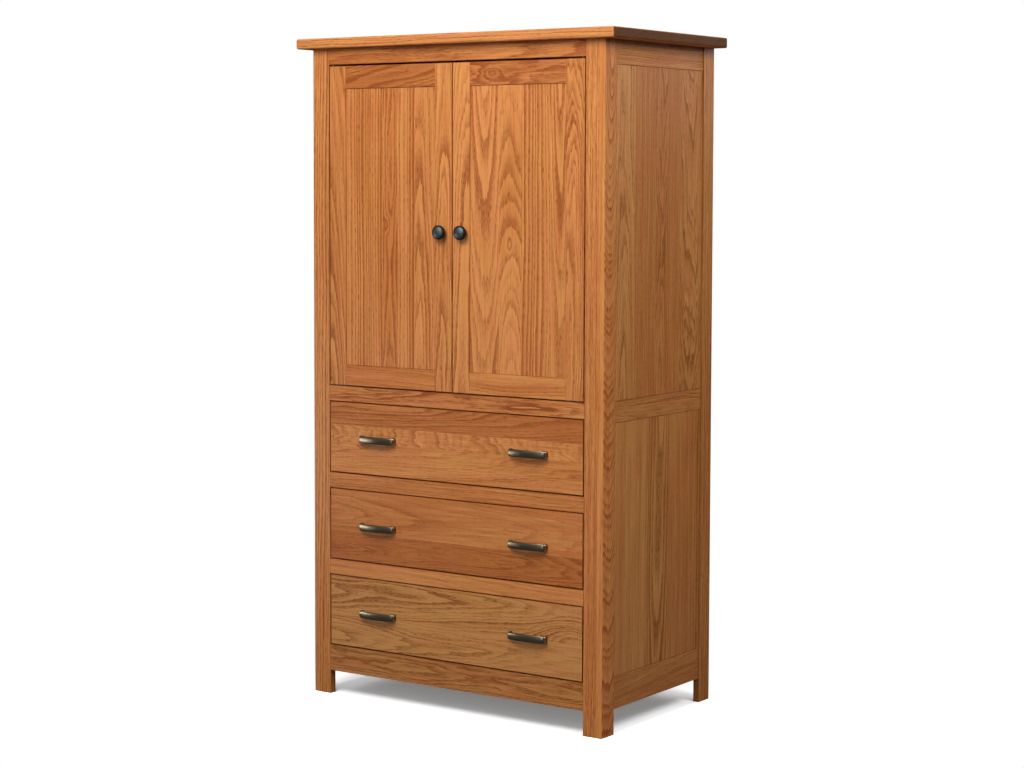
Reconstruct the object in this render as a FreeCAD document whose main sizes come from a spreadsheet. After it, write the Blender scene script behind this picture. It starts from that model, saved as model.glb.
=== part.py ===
import FreeCAD, Part
import os
import re
import Sketcher

# Computer armoire in oak: four square posts that run down into thinner feet, mortised rails,
# framed sides, two inset frame-and-panel doors on knife hinges above three inset drawers
# on ball-bearing slides. +Z is up, the front faces -Y and +X is to the right of a person
# who looks at the front. The origin is on the floor, in the middle of the whole outline.

# Driving dimensions, in millimetres. Everything else is worked out from them.
SIZES = {
    "total_height": 1829,
    "case_width": 960,
    "case_depth": 560,
    "post_size": 58,
    "post_arris": 5,
    "top_thickness": 28,
    "top_side_overhang": 40,
    "top_front_overhang": 24,
    "top_arris": 5,
    "leg_clearance": 66,
    "foot_side_thickness": 18,
    "rail_thickness": 22,
    "top_rail_height": 44,
    "divider_height": 42,
    "bottom_rail_height": 73,
    "drawer_opening": 201.5,
    "tenon_length": 28,
    "tenon_thickness": 9.8,
    "mortise_play": 0.2,
    "mortise_end_play": 1,
    "tenon_shoulder": 8,
    "side_setback": 3,
    "side_top_rail_height": 63,
    "side_middle_rail_low": 816,
    "side_middle_rail_height": 56,
    "side_bottom_rail_height": 85,
    "side_panel_thickness": 9.6,
    "side_panel_recess": 1,
    "side_groove_width": 10,
    "panel_tongue": 10,
    "panel_end_play": 1,
    "panel_field_play": 0.5,
    "panel_arris": 0.8,
    "back_rail_height": 60,
    "back_panel_thickness": 9,
    "back_rabbet_width": 10,
    "floor_thickness": 18,
    "shelf_thickness": 20,
    "shelf_front_gap": 32,
    "shelf_side_gap": 2,
    "shelf_row_height": 1080,
    "shelf_hole_pitch": 64,
    "shelf_hole_radius": 2.6,
    "shelf_hole_depth": 10,
    "shelf_pin_radius": 2.5,
    "shelf_pin_reach": 9,
    "shelf_pin_setback": 44,
    "grommet_height": 70,
    "grommet_radius": 30,
    "grommet_bore_radius": 26,
    "grommet_flange": 4,
    "grommet_flange_thickness": 2.5,
    "front_gap": 3,
    "door_top_gap": 5,
    "front_thickness": 20,
    "front_arris": 1.5,
    "door_stile_width": 56,
    "door_top_rail_height": 62,
    "door_bottom_rail_height": 57,
    "door_panel_thickness": 8,
    "door_panel_recess": 2,
    "door_groove_width": 8.4,
    "door_groove_stop": 12,
    "pivot_from_edge": 8,
    "pivot_from_face": 7,
    "leaf_width": 11,
    "leaf_length": 50,
    "leaf_thickness": 2.5,
    "leaf_recess": 1.5,
    "hinge_pin_radius": 2.5,
    "hinge_hole_radius": 2.55,
    "hinge_collar_radius": 4,
    "hinge_play": 0.05,
    "hinge_pin_tip_play": 0.2,
    "catch_from_middle": 12,
    "catch_width": 36,
    "catch_thickness": 14,
    "catch_drop": 21,
    "catch_height": 44,
    "strike_inset": 4,
    "strike_height": 14,
    "strike_thickness": 1.5,
    "knob_from_middle": 35,
    "knob_height": 1301,
    "knob_reach": 24,
    "knob_radius": 19,
    "knob_rose_radius": 10,
    "knob_rose_thickness": 3,
    "knob_stem_radius": 6.5,
    "knob_flare_start": 8,
    "knob_flare_end": 13,
    "knob_rim": 7,
    "pull_from_middle": 250,
    "pull_length": 120,
    "pull_foot": 9,
    "pull_reach": 22,
    "pull_end_reach": 16,
    "pull_strap": 5,
    "pull_height": 20,
    "slide_thickness": 12.7,
    "slide_height": 45,
    "slide_length": 450,
    "slide_setback": 24,
    "slide_metal": 1.2,
    "slide_nesting": 3,
    "slide_play": 1.4,
    "cleat_height": 60,
    "box_lift": 12,
    "box_height": 165,
    "box_depth": 470,
    "box_board": 13,
    "box_bottom_thickness": 6,
    "box_bottom_lift": 10,
    "box_bottom_tongue": 6,
    "box_bottom_play": 0.1,
    "tail_neck": 22,
    "tail_flare": 2,
}

TAILS = 4
SHELF_HOLES = 9
SHELF_HOLE_IN_USE = 6
DRAFT_SIZE = 9
SAME_PLACE = 0.01
DRAWERS = ("bottom", "middle", "top")
SIDES = {"left": -1, "right": 1}

# Named planes, written as expressions in the aliases above.
OUTER = "(case_width / 2)"
INNER = "(case_width / 2 - post_size)"
FRONT = "((knob_reach - case_depth) / 2)"
BACK = "((knob_reach + case_depth) / 2)"
CASE_TOP = "(total_height - top_thickness)"
DOOR_HIGH = f"({CASE_TOP} - top_rail_height)"
SIDE_MIDDLE = f"({OUTER} - side_setback - rail_thickness / 2)"
SIDE_FACE = f"({SIDE_MIDDLE} - rail_thickness / 2)"
BOX_HALF = f"({INNER} - slide_thickness)"
BOX_FRONT = f"({FRONT} + front_thickness)"
PIVOT_X = f"({INNER} - front_gap - pivot_from_edge)"
PIVOT_Y = f"({FRONT} + pivot_from_face)"


def drawer_floor(number):
    """The height of the lower edge of a drawer opening, counted from 0 at the bottom."""
    return f"(leg_clearance + bottom_rail_height + {number} * (drawer_opening + divider_height))"


DOOR_LOW = drawer_floor(len(DRAWERS))
SIDE_RAILS = {
    "top": (f"{CASE_TOP} - side_top_rail_height", CASE_TOP),
    "middle": ("side_middle_rail_low", "side_middle_rail_low + side_middle_rail_height"),
    "bottom": ("leg_clearance", "leg_clearance + side_bottom_rail_height"),
}
FRONT_RAILS = {
    "front_top_rail": (DOOR_HIGH, CASE_TOP),
    "front_middle_rail": (f"{DOOR_LOW} - divider_height", DOOR_LOW),
    "upper_divider_rail": (f"{drawer_floor(2)} - divider_height", drawer_floor(2)),
    "lower_divider_rail": (f"{drawer_floor(1)} - divider_height", drawer_floor(1)),
    "front_bottom_rail": ("leg_clearance", drawer_floor(0)),
}
FLOOR_LOW = f"({DOOR_LOW} - floor_thickness)"
BACK_RAILS = {
    "top": (f"{CASE_TOP} - back_rail_height", CASE_TOP),
    "middle": (f"{FLOOR_LOW} - back_rail_height", FLOOR_LOW),
    "bottom": ("leg_clearance", "leg_clearance + back_rail_height"),
}

doc = FreeCAD.newDocument("computer_armoire")
nodes = []


# The document's building blocks.

def make_sheet():
    """The spreadsheet that every size in the document is bound to."""
    sheet = doc.addObject("Spreadsheet::Sheet", "Sizes")
    for row, (alias, value) in enumerate(SIZES.items(), start=1):
        sheet.set(f"A{row}", alias)
        sheet.set(f"B{row}", str(value))
        sheet.setAlias(f"B{row}", alias)
    doc.recompute()


def bind(thing, attribute, formula):
    """Bind an attribute to a formula, whose plain words are aliases in the sheet."""
    full = re.sub(r"[a-z]\w+", lambda word: f"Sizes.{word.group()}", formula)
    thing.setExpression(attribute, full)


def bind_place(thing, place):
    """Bind the three coordinates of an object's place."""
    for axis, formula in zip("xyz", place):
        bind(thing, f"Placement.Base.{axis}", formula)


def block(x, y, z):
    """A rectangular solid, from its low and high bound along each axis."""
    solid = doc.addObject("Part::Box", "Block")
    for size, (low, high) in zip(("Length", "Width", "Height"), (x, y, z)):
        bind(solid, size, f"({high}) - ({low})")
    bind_place(solid, (x[0], y[0], z[0]))
    return solid


TURNS = {
    "x": FreeCAD.Rotation(FreeCAD.Vector(0, 1, 0), 90),
    "y": FreeCAD.Rotation(FreeCAD.Vector(1, 0, 0), -90),
    "front": FreeCAD.Rotation(FreeCAD.Vector(1, 0, 0), 90),
    "z": FreeCAD.Rotation(),
}


def turned(kind, direction, place, sizes):
    """A cylinder or cone that stands on a place and points in a direction."""
    solid = doc.addObject(kind, "Turned")
    solid.Placement = FreeCAD.Placement(FreeCAD.Vector(), TURNS[direction])
    bind_place(solid, place)
    for attribute, formula in sizes.items():
        bind(solid, attribute, formula)
    return solid


def rod(direction, place, radius, length):
    """A round rod that starts at a place and points in a direction."""
    return turned("Part::Cylinder", direction, place, {"Radius": radius, "Height": length})


def joined(*solids):
    """Several solids made one, with no seams left on flat faces."""
    union = doc.addObject("Part::MultiFuse", "Joined")
    union.Shapes = list(solids)
    union.Refine = True
    return union


def trimmed(solid, tools):
    """A solid with every tool taken out of it."""
    cut = doc.addObject("Part::Cut", "Trimmed")
    cut.Base = solid
    cut.Tool = tools[0] if len(tools) == 1 else joined(*tools)
    return cut


def shared(solid, other):
    """What two solids have in common."""
    common = doc.addObject("Part::Common", "Shared")
    common.Base = solid
    common.Tool = other
    return common


def grouped(*solids):
    """Several separate solids kept as one node."""
    group = doc.addObject("Part::Compound", "Grouped")
    group.Links = list(solids)
    return group


def name_node(label, solid):
    """Make an object a sub-part of its own, whose file has the label's name."""
    solid.Label = label
    nodes.append(solid)
    return solid


def across(side, near, far):
    """Low and high X of a span that lies near to far from the middle, on one side."""
    return (near, far) if SIDES[side] > 0 else (f"-({far})", f"-({near})")


def beside(side, distance):
    """The X of a point at a distance from the middle, on one side."""
    return distance if SIDES[side] > 0 else f"-({distance})"


def deep(end, near, far):
    """Low and high Y of a span that lies near to far inward from the front or back."""
    if end == "front":
        return (f"{FRONT} + {near}", f"{FRONT} + {far}")
    return (f"{BACK} - ({far})", f"{BACK} - ({near})")


def about(middle, half):
    """Low and high bound of a span that reaches half to each side of its middle."""
    return (f"{middle} - ({half})", f"{middle} + ({half})")


def body_board(x, y, z):
    """A sketched and padded board as a PartDesign body, ready for rounded edges."""
    body = doc.addObject("PartDesign::Body", "Board")
    flat = [plane for plane in body.Origin.OriginFeatures if plane.Role == "XY_Plane"][0]
    sketch = body.newObject("Sketcher::SketchObject", "Outline")
    sketch.AttachmentSupport = [(flat, "")]
    sketch.MapMode = "FlatFace"
    draw_rectangle(sketch, f"({x[1]}) - ({x[0]})", f"({y[1]}) - ({y[0]})")
    pad = body.newObject("PartDesign::Pad", "Thickness")
    pad.Profile = sketch
    bind(pad, "Length", f"({z[1]}) - ({z[0]})")
    bind_place(body, (x[0], y[0], z[0]))
    return body


def draw_rectangle(sketch, width, depth):
    """A rectangle with one corner on the sketch's origin and its two sizes bound.

    It is drawn as a square of a passing size, and the bound sizes then give its own.
    """
    square = ((0, 0), (DRAFT_SIZE, 0), (DRAFT_SIZE, DRAFT_SIZE), (0, DRAFT_SIZE))
    corners = [FreeCAD.Vector(*point) for point in square]
    for start, finish in zip(corners, corners[1:] + corners[:1]):
        sketch.addGeometry(Part.LineSegment(start, finish), False)
    for line in range(4):
        sketch.addConstraint(Sketcher.Constraint("Coincident", line, 2, (line + 1) % 4, 1))
        sketch.addConstraint(Sketcher.Constraint(("Horizontal", "Vertical")[line % 2], line))
    sketch.addConstraint(Sketcher.Constraint("Coincident", 0, 1, -1, 1))
    sides = (("width", "DistanceX", 0, width), ("depth", "DistanceY", 1, depth))
    for name, kind, line, formula in sides:
        index = sketch.addConstraint(Sketcher.Constraint(kind, line, 1, line, 2, DRAFT_SIZE))
        sketch.renameConstraint(index, name)
        bind(sketch, f"Constraints.{name}", formula)


def rounded(body, radius, wanted):
    """Round those edges of a body for which wanted(middle, low, high) is true.

    middle is the edge's midpoint, and low and high are the corners of the body's box,
    all in the document's frame.
    """
    doc.recompute()
    shape = body.Shape
    box = shape.BoundBox
    low = FreeCAD.Vector(box.XMin, box.YMin, box.ZMin)
    high = FreeCAD.Vector(box.XMax, box.YMax, box.ZMax)
    names = [
        f"Edge{number}"
        for number, edge in enumerate(shape.Edges, start=1)
        if wanted(edge.BoundBox.Center, low, high)
    ]
    sharp = body.Tip
    fillet = body.newObject("PartDesign::Fillet", "Arris")
    fillet.Base = (sharp, names)
    bind(fillet, "Radius", radius)
    return body


def near(one, other):
    """Whether two coordinates are the same."""
    return abs(one - other) < SAME_PLACE


# The case: top, posts, rails and panels.

def crosswise_tenon(side, end, setback, low, high, loose):
    """The end of a front or back rail inside a post; loose gives the post's mortise."""
    play = "mortise_play / 2" if loose else "0"
    length = "tenon_length + mortise_end_play" if loose else "tenon_length"
    return block(
        across(side, INNER, f"{INNER} + {length}"),
        deep(end, *about(f"{setback} + rail_thickness / 2", f"tenon_thickness / 2 + {play}")),
        (f"{low} + tenon_shoulder - {play}", f"{high} - tenon_shoulder + {play}"),
    )


def lengthwise_tenon(side, end, low, high, loose):
    """The end of a side rail inside a post; loose gives the post's mortise."""
    play = "mortise_play / 2" if loose else "0"
    length = "tenon_length + mortise_end_play" if loose else "tenon_length"
    return block(
        across(side, *about(SIDE_MIDDLE, f"tenon_thickness / 2 + {play}")),
        deep(end, f"post_size - ({length})", "post_size"),
        (f"{low} + tenon_shoulder - {play}", f"{high} - tenon_shoulder + {play}"),
    )


def shelf_hole_height(number):
    """The height of a shelf-pin hole, counted from the lowest."""
    return f"shelf_row_height + {number} * shelf_hole_pitch"


def foot_hollow(side, end):
    """What is cut from a post below the rails: a front foot is left an L, a back foot a board."""
    return block(
        across(side, INNER, f"{OUTER} - foot_side_thickness"),
        deep(end, "rail_thickness" if end == "front" else "0", "post_size"),
        ("0", "leg_clearance"),
    )


def post_openings(side, end):
    """Everything that is cut out of one post: its foot, mortises, groove and pin holes."""
    tools = [foot_hollow(side, end)]
    tools += [lengthwise_tenon(side, end, low, high, True) for low, high in SIDE_RAILS.values()]
    rails, setback = (FRONT_RAILS, "0") if end == "front" else (BACK_RAILS, "back_panel_thickness")
    for low, high in rails.values():
        tools.append(crosswise_tenon(side, end, setback, low, high, True))
    tools.append(block(
        across(side, *about(SIDE_MIDDLE, "side_groove_width / 2")),
        deep(end, "post_size - panel_tongue - panel_end_play", "post_size"),
        ("leg_clearance + tenon_shoulder", f"{CASE_TOP} - tenon_shoulder"),
    ))
    if end == "back":
        tools.append(block(
            across(side, INNER, f"{INNER} + back_rabbet_width"),
            deep("back", "0", "back_panel_thickness"),
            ("leg_clearance", CASE_TOP),
        ))
    for number in range(SHELF_HOLES):
        start = INNER if side == "right" else f"-({INNER} + shelf_hole_depth)"
        place = (start, deep(end, "shelf_pin_setback", "0")[end == "back"], shelf_hole_height(number))
        tools.append(rod("x", place, "shelf_hole_radius", "shelf_hole_depth"))
    return tools


def make_post(side, end):
    """A post from the floor to the top board, rounded on its outer corner."""
    board = body_board(across(side, INNER, OUTER), deep(end, "0", "post_size"), ("0", CASE_TOP))
    outward = (lambda low, high: low.x) if side == "left" else (lambda low, high: high.x)
    faceward = (lambda low, high: low.y) if end == "front" else (lambda low, high: high.y)
    rounded(board, "post_arris", lambda middle, low, high: (
        near(middle.x, outward(low, high)) and near(middle.y, faceward(low, high))))
    name_node(f"{end}_{side}_post", trimmed(board, post_openings(side, end)))


def make_front_rails(hinge_plates):
    """The five rails between the front posts, flush with them; two carry hinge leaves."""
    for label, (low, high) in FRONT_RAILS.items():
        board = block((f"-{INNER}", INNER), deep("front", "0", "rail_thickness"), (low, high))
        tenons = [crosswise_tenon(side, "front", "0", low, high, False) for side in SIDES]
        rail = joined(board, *tenons)
        if label in hinge_plates:
            rail = trimmed(rail, hinge_plates[label])
        name_node(label, rail)


def make_back_rails():
    """The three rails that the back panel is fixed to."""
    rails = []
    setback = "back_panel_thickness"
    for low, high in BACK_RAILS.values():
        bounds = deep("back", setback, f"{setback} + rail_thickness")
        board = block((f"-{INNER}", INNER), bounds, (low, high))
        tenons = [crosswise_tenon(side, "back", setback, low, high, False) for side in SIDES]
        rails.append(joined(board, *tenons))
    name_node("back_rails", grouped(*rails))


def side_groove(side, low, high):
    """The groove along a side rail's edge that holds a panel, cut on into its tenons."""
    return block(
        across(side, *about(SIDE_MIDDLE, "side_groove_width / 2")),
        (f"{FRONT} + post_size - panel_tongue - panel_end_play",
         f"{BACK} - post_size + panel_tongue + panel_end_play"),
        (low, high),
    )


def make_side_rails(side):
    """The top, middle and bottom rail of one side, grooved for the two panels."""
    depth = "panel_tongue + panel_end_play"
    rails = []
    for name, (low, high) in SIDE_RAILS.items():
        board = block(
            across(side, SIDE_FACE, f"{SIDE_FACE} + rail_thickness"),
            (f"{FRONT} + post_size", f"{BACK} - post_size"),
            (low, high),
        )
        tenons = [lengthwise_tenon(side, end, low, high, False) for end in ("front", "back")]
        grooves = []
        if name != "top":
            grooves.append(side_groove(side, f"{high} - ({depth})", high))
        if name != "bottom":
            grooves.append(side_groove(side, low, f"{low} + {depth}"))
        rails.append(trimmed(joined(board, *tenons), grooves))
    name_node(f"{side}_side_rails", grouped(*rails))


def make_side_panels(side):
    """The upper and lower panel of one side, loose in the grooves as solid wood must be.

    A tongue all round lies in the grooves, and a field stands out from it nearly to the rails.
    """
    face = f"{OUTER} - side_setback - side_panel_recess"
    spans = {
        "upper": (SIDE_RAILS["middle"][1], SIDE_RAILS["top"][0]),
        "lower": (SIDE_RAILS["bottom"][1], SIDE_RAILS["middle"][0]),
    }
    for name, (low, high) in spans.items():
        tongue = block(
            across(side, *about(SIDE_MIDDLE, "side_panel_thickness / 2")),
            (f"{FRONT} + post_size - panel_tongue", f"{BACK} - post_size + panel_tongue"),
            (f"{low} - panel_tongue", f"{high} + panel_tongue"),
        )
        field = body_board(
            across(side, SIDE_MIDDLE, face),
            (f"{FRONT} + post_size + panel_field_play", f"{BACK} - post_size - panel_field_play"),
            (f"{low} + panel_field_play", f"{high} - panel_field_play"),
        )
        rounded(field, "panel_arris", lambda middle, low, high: (
            near(middle.x, high.x if side == "right" else low.x)))
        name_node(f"{side}_{name}_panel", joined(tongue, field))


def make_top():
    """The top board, which stands out at the front and both sides, with every edge eased."""
    reach = f"({OUTER} + top_side_overhang)"
    board = body_board(
        (f"-{reach}", reach),
        (f"{FRONT} - top_front_overhang", BACK),
        (CASE_TOP, "total_height"),
    )
    rounded(board, "top_arris", lambda middle, low, high: True)
    name_node("top_board", board)


def make_back_panel():
    """The back panel in the posts' rabbets, and the grommet in its cable hole."""
    reach = f"({INNER} + back_rabbet_width - mortise_play)"
    thickness = deep("back", "0", "back_panel_thickness")
    board = block((f"-{reach}", reach), thickness, ("leg_clearance", CASE_TOP))
    centre = f"{DOOR_LOW} + grommet_height"
    inside = f"{BACK} - back_panel_thickness"
    hole = rod("y", ("0", inside, centre), "grommet_radius", "back_panel_thickness")
    name_node("back_panel", trimmed(board, [hole]))
    face = f"{inside} - grommet_flange_thickness"
    sleeve = rod("y", ("0", inside, centre), "grommet_radius - mortise_play", "back_panel_thickness")
    flange = rod("y", ("0", face, centre), "grommet_radius + grommet_flange", "grommet_flange_thickness")
    bore_length = "back_panel_thickness + grommet_flange_thickness"
    bore = rod("y", ("0", face, centre), "grommet_bore_radius", bore_length)
    name_node("cable_grommet", trimmed(joined(sleeve, flange), [bore]))


def make_floor():
    """The floor behind the doors, notched round the posts and level with the middle rail."""
    board = block(
        (f"-{SIDE_FACE}", SIDE_FACE),
        (f"{FRONT} + rail_thickness", f"{BACK} - back_panel_thickness"),
        (FLOOR_LOW, DOOR_LOW),
    )
    notches = [
        block(across(side, INNER, OUTER), deep(end, "0", "post_size"), (FLOOR_LOW, DOOR_LOW))
        for side in SIDES for end in ("front", "back")
    ]
    name_node("cabinet_floor", trimmed(board, notches))


def make_shelf():
    """The adjustable shelf, and the four pins that it lies on."""
    height = shelf_hole_height(SHELF_HOLE_IN_USE)
    half = f"({INNER} - shelf_side_gap)"
    board = body_board(
        (f"-{half}", half),
        (f"{FRONT} + shelf_front_gap", f"{BACK} - back_panel_thickness - shelf_side_gap"),
        (f"{height} + shelf_pin_radius", f"{height} + shelf_pin_radius + shelf_thickness"),
    )
    rounded(board, "front_arris", lambda middle, low, high: (
        near(middle.y, low.y) and (near(middle.z, low.z) or near(middle.z, high.z))))
    name_node("adjustable_shelf", board)
    pins = []
    for side in SIDES:
        start = f"{INNER} - shelf_pin_reach" if side == "right" else f"-({INNER} + shelf_pin_reach)"
        for end in ("front", "back"):
            place = (start, deep(end, "shelf_pin_setback", "0")[end == "back"], height)
            pins.append(rod("x", place, "shelf_pin_radius", "2 * shelf_pin_reach"))
    name_node("shelf_pins", grouped(*pins))


# The doors and their knife hinges.

def rise(edge, upward, near_edge, far_edge):
    """Low and high Z of a span that starts at a rail's edge and goes up or down."""
    if upward:
        return (f"{edge} + {near_edge}", f"{edge} + {far_edge}")
    return (f"{edge} - ({far_edge})", f"{edge} - ({near_edge})")


def upright_rod(side, radius, span):
    """A rod on a door's turning axis."""
    low, high = span
    return rod("z", (beside(side, PIVOT_X), PIVOT_Y, low), radius, f"({high}) - ({low})")


def leaf_plate(side, span):
    """A hinge leaf's plate: a strip with one round end about the turning axis."""
    strip = block(
        across(side, f"{PIVOT_X} + leaf_width / 2 - leaf_length", PIVOT_X),
        (f"{PIVOT_Y} - leaf_width / 2", f"{PIVOT_Y} + leaf_width / 2"),
        span,
    )
    return joined(strip, upright_rod(side, "leaf_width / 2", span))


def end_gap(upward):
    """The gap between the end of a door and the rail that its hinge leaf stands up or down from."""
    return "front_gap" if upward else "door_top_gap"


def case_leaf(side, edge, upward):
    """The leaf that is let into a rail, with its pin and the collar the door turns on."""
    gap = end_gap(upward)
    proud = "leaf_thickness - leaf_recess"
    plate = leaf_plate(side, rise(edge, upward, "(-leaf_recess)", proud))
    collar = upright_rod(side, "hinge_collar_radius",
                         rise(edge, upward, "0", f"{gap} - ({proud}) - hinge_play"))
    pin = upright_rod(side, "hinge_pin_radius",
                      rise(edge, upward, "0", f"{gap} + leaf_recess - hinge_pin_tip_play"))
    return joined(plate, collar, pin)


def door_leaf(side, edge, upward):
    """The leaf that is let into the end of a door's stile, with a hole for the pin."""
    gap = end_gap(upward)
    span = rise(edge, upward, f"{gap} - leaf_thickness + leaf_recess", f"{gap} + leaf_recess")
    return trimmed(leaf_plate(side, span), [upright_rod(side, "hinge_hole_radius", span)])


def leaf_seat(side, edge, upward):
    """The pocket in a stile's end that a door leaf fills."""
    gap = end_gap(upward)
    return leaf_plate(side, rise(edge, upward, gap, f"{gap} + leaf_recess"))


def door_groove(x, z):
    """The groove in a door's frame that holds its panel."""
    return block(x, deep("front", *about("front_thickness / 2", "door_groove_width / 2")), z)


def make_stiles(side, low, high):
    """The two upright members of a door; the outer one has seats for the hinge leaves."""
    reach = "(panel_tongue + panel_end_play)"
    stopped = (f"{low} + door_groove_stop", f"{high} - door_groove_stop")
    outer_low = f"({INNER} - front_gap - door_stile_width)"
    inner_high = "(front_gap / 2 + door_stile_width)"
    spans = {
        "hinge_stile": (outer_low, f"{INNER} - front_gap"),
        "meeting_stile": ("front_gap / 2", inner_high),
    }
    grooves = {
        "hinge_stile": (outer_low, f"{outer_low} + {reach}"),
        "meeting_stile": (f"{inner_high} - {reach}", inner_high),
    }
    thickness = deep("front", "0", "front_thickness")
    for name, (near_x, far_x) in spans.items():
        board = body_board(across(side, near_x, far_x), thickness, (low, high))
        is_outer = (name == "hinge_stile") == (side == "right")
        rounded(board, "front_arris", lambda middle, low, high, is_outer=is_outer: (
            near(middle.y, low.y) and (near(middle.z, low.z) or near(middle.z, high.z)
                                       or near(middle.x, high.x if is_outer else low.x))))
        tools = [door_groove(across(side, *grooves[name]), stopped)]
        if name == "hinge_stile":
            tools += [leaf_seat(side, DOOR_LOW, True), leaf_seat(side, DOOR_HIGH, False)]
        name_node(f"{side}_door_{name}", trimmed(board, tools))


def make_door_rails(side, low, high):
    """The top and bottom rail of a door, with stub tenons that fill the stiles' grooves."""
    reach = "(panel_tongue + panel_end_play)"
    x = across(side, "front_gap / 2 + door_stile_width", f"{INNER} - front_gap - door_stile_width")
    tenoned = (f"{x[0]} - panel_tongue", f"{x[1]} + panel_tongue")
    inside = deep("front", *about("front_thickness / 2", "(door_groove_width - mortise_play) / 2"))
    spans = {
        "top_rail": (f"{high} - door_top_rail_height", high),
        "bottom_rail": (low, f"{low} + door_bottom_rail_height"),
    }
    for name, (bottom, top) in spans.items():
        board = body_board(x, deep("front", "0", "front_thickness"), (bottom, top))
        rounded(board, "front_arris", lambda middle, low, high: (
            near(middle.y, low.y) and (near(middle.z, low.z) or near(middle.z, high.z))))
        tongue = block(tenoned, inside, (f"{bottom} + door_groove_stop", f"{top} - door_groove_stop"))
        edge = (bottom, f"{bottom} + {reach}") if name == "top_rail" else (f"{top} - {reach}", top)
        name_node(f"{side}_door_{name}", trimmed(joined(board, tongue), [door_groove(tenoned, edge)]))


def make_door_panel(side, low, high):
    """The flat panel of a door: a tongue in the grooves, and a field nearly flush in front."""
    x = across(side, "front_gap / 2 + door_stile_width", f"{INNER} - front_gap - door_stile_width")
    z = (f"{low} + door_bottom_rail_height", f"{high} - door_top_rail_height")
    tongue = block(
        (f"{x[0]} - panel_tongue", f"{x[1]} + panel_tongue"),
        deep("front", *about("front_thickness / 2", "door_panel_thickness / 2")),
        (f"{z[0]} - panel_tongue", f"{z[1]} + panel_tongue"),
    )
    field = body_board(
        (f"{x[0]} + panel_field_play", f"{x[1]} - panel_field_play"),
        deep("front", "door_panel_recess", "front_thickness / 2"),
        (f"{z[0]} + panel_field_play", f"{z[1]} - panel_field_play"),
    )
    rounded(field, "panel_arris", lambda middle, low, high: near(middle.y, low.y))
    name_node(f"{side}_door_panel", joined(tongue, field))


def make_knob(side):
    """A mushroom knob: a rose on the door, a stem, a flared neck, a rim and a low dome."""
    x = beside(side, "knob_from_middle")

    def ring(start, length, radius):
        return rod("front", (x, f"{FRONT} - {start}", "knob_height"), radius, length)

    neck = turned("Part::Cone", "front", (x, f"{FRONT} - knob_flare_start", "knob_height"), {
        "Radius1": "knob_stem_radius",
        "Radius2": "knob_radius",
        "Height": "knob_flare_end - knob_flare_start",
    })
    dome_start = "(knob_flare_end + knob_rim)"
    dome = turned("Part::Cone", "front", (x, f"{FRONT} - {dome_start}", "knob_height"), {
        "Radius1": "knob_radius",
        "Radius2": "knob_stem_radius",
        "Height": f"knob_reach - {dome_start}",
    })
    parts = (
        ring("0", "knob_rose_thickness", "knob_rose_radius"),
        ring("0", "knob_flare_start", "knob_stem_radius"),
        neck,
        ring("knob_flare_end", "knob_rim", "knob_radius"),
        dome,
    )
    name_node(f"{side}_door_knob", joined(*parts))


def make_strike(side):
    """The small steel plate on the back of a door that the catch's magnet holds."""
    start = "(catch_from_middle + strike_inset)"
    high = f"{DOOR_HIGH} - door_top_gap - strike_inset"
    plate = block(
        across(side, start, f"{start} + catch_width - 2 * strike_inset"),
        deep("front", "front_thickness", "front_thickness + strike_thickness"),
        (f"{high} - strike_height", high),
    )
    name_node(f"{side}_door_strike", plate)


def make_door(side):
    """One door: two stiles, two rails, a panel, a knob, a strike and two hinge leaves."""
    low = f"({DOOR_LOW} + front_gap)"
    high = f"({DOOR_HIGH} - door_top_gap)"
    make_stiles(side, low, high)
    make_door_rails(side, low, high)
    make_door_panel(side, low, high)
    make_knob(side)
    make_strike(side)
    leaves = (door_leaf(side, DOOR_LOW, True), door_leaf(side, DOOR_HIGH, False))
    name_node(f"{side}_door_hinge_leaves", grouped(*leaves))


def make_catches():
    """The two magnetic catches, screwed to the back of the top rail."""
    catches = [
        block(
            across(side, "catch_from_middle", "catch_from_middle + catch_width"),
            deep("front", "rail_thickness", "rail_thickness + catch_thickness"),
            (f"{DOOR_HIGH} - catch_drop", f"{DOOR_HIGH} - catch_drop + catch_height"),
        )
        for side in SIDES
    ]
    name_node("door_catches", grouped(*catches))


# The drawers and their slides.

def slide_middle_height(number):
    """The height of a drawer's slides, half-way up the sides of its box."""
    return f"({drawer_floor(number)} + box_lift + box_height / 2)"


def channel(side, number, near_x, web_far, far_x, shrink):
    """A rolled steel channel of a slide.

    It lies between near_x and far_x from the case, its web ends at web_far, and it is
    shrink lower than the outer member at its top and at its bottom.
    """
    middle = slide_middle_height(number)
    half = f"(slide_height / 2 - {shrink})"
    length = deep("front", "slide_setback", "slide_setback + slide_length")
    whole = block(
        across(side, f"{INNER} - {far_x}", f"{INNER} - {near_x}"),
        length,
        about(middle, half),
    )
    hollow_near, hollow_far = web_far, far_x
    if web_far == near_x:
        hollow_far = f"({far_x} - slide_metal)"
    hollow = block(
        across(side, f"{INNER} - {hollow_far}", f"{INNER} - {hollow_near}"),
        length,
        about(middle, f"{half} - slide_metal"),
    )
    return trimmed(whole, [hollow])


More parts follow.
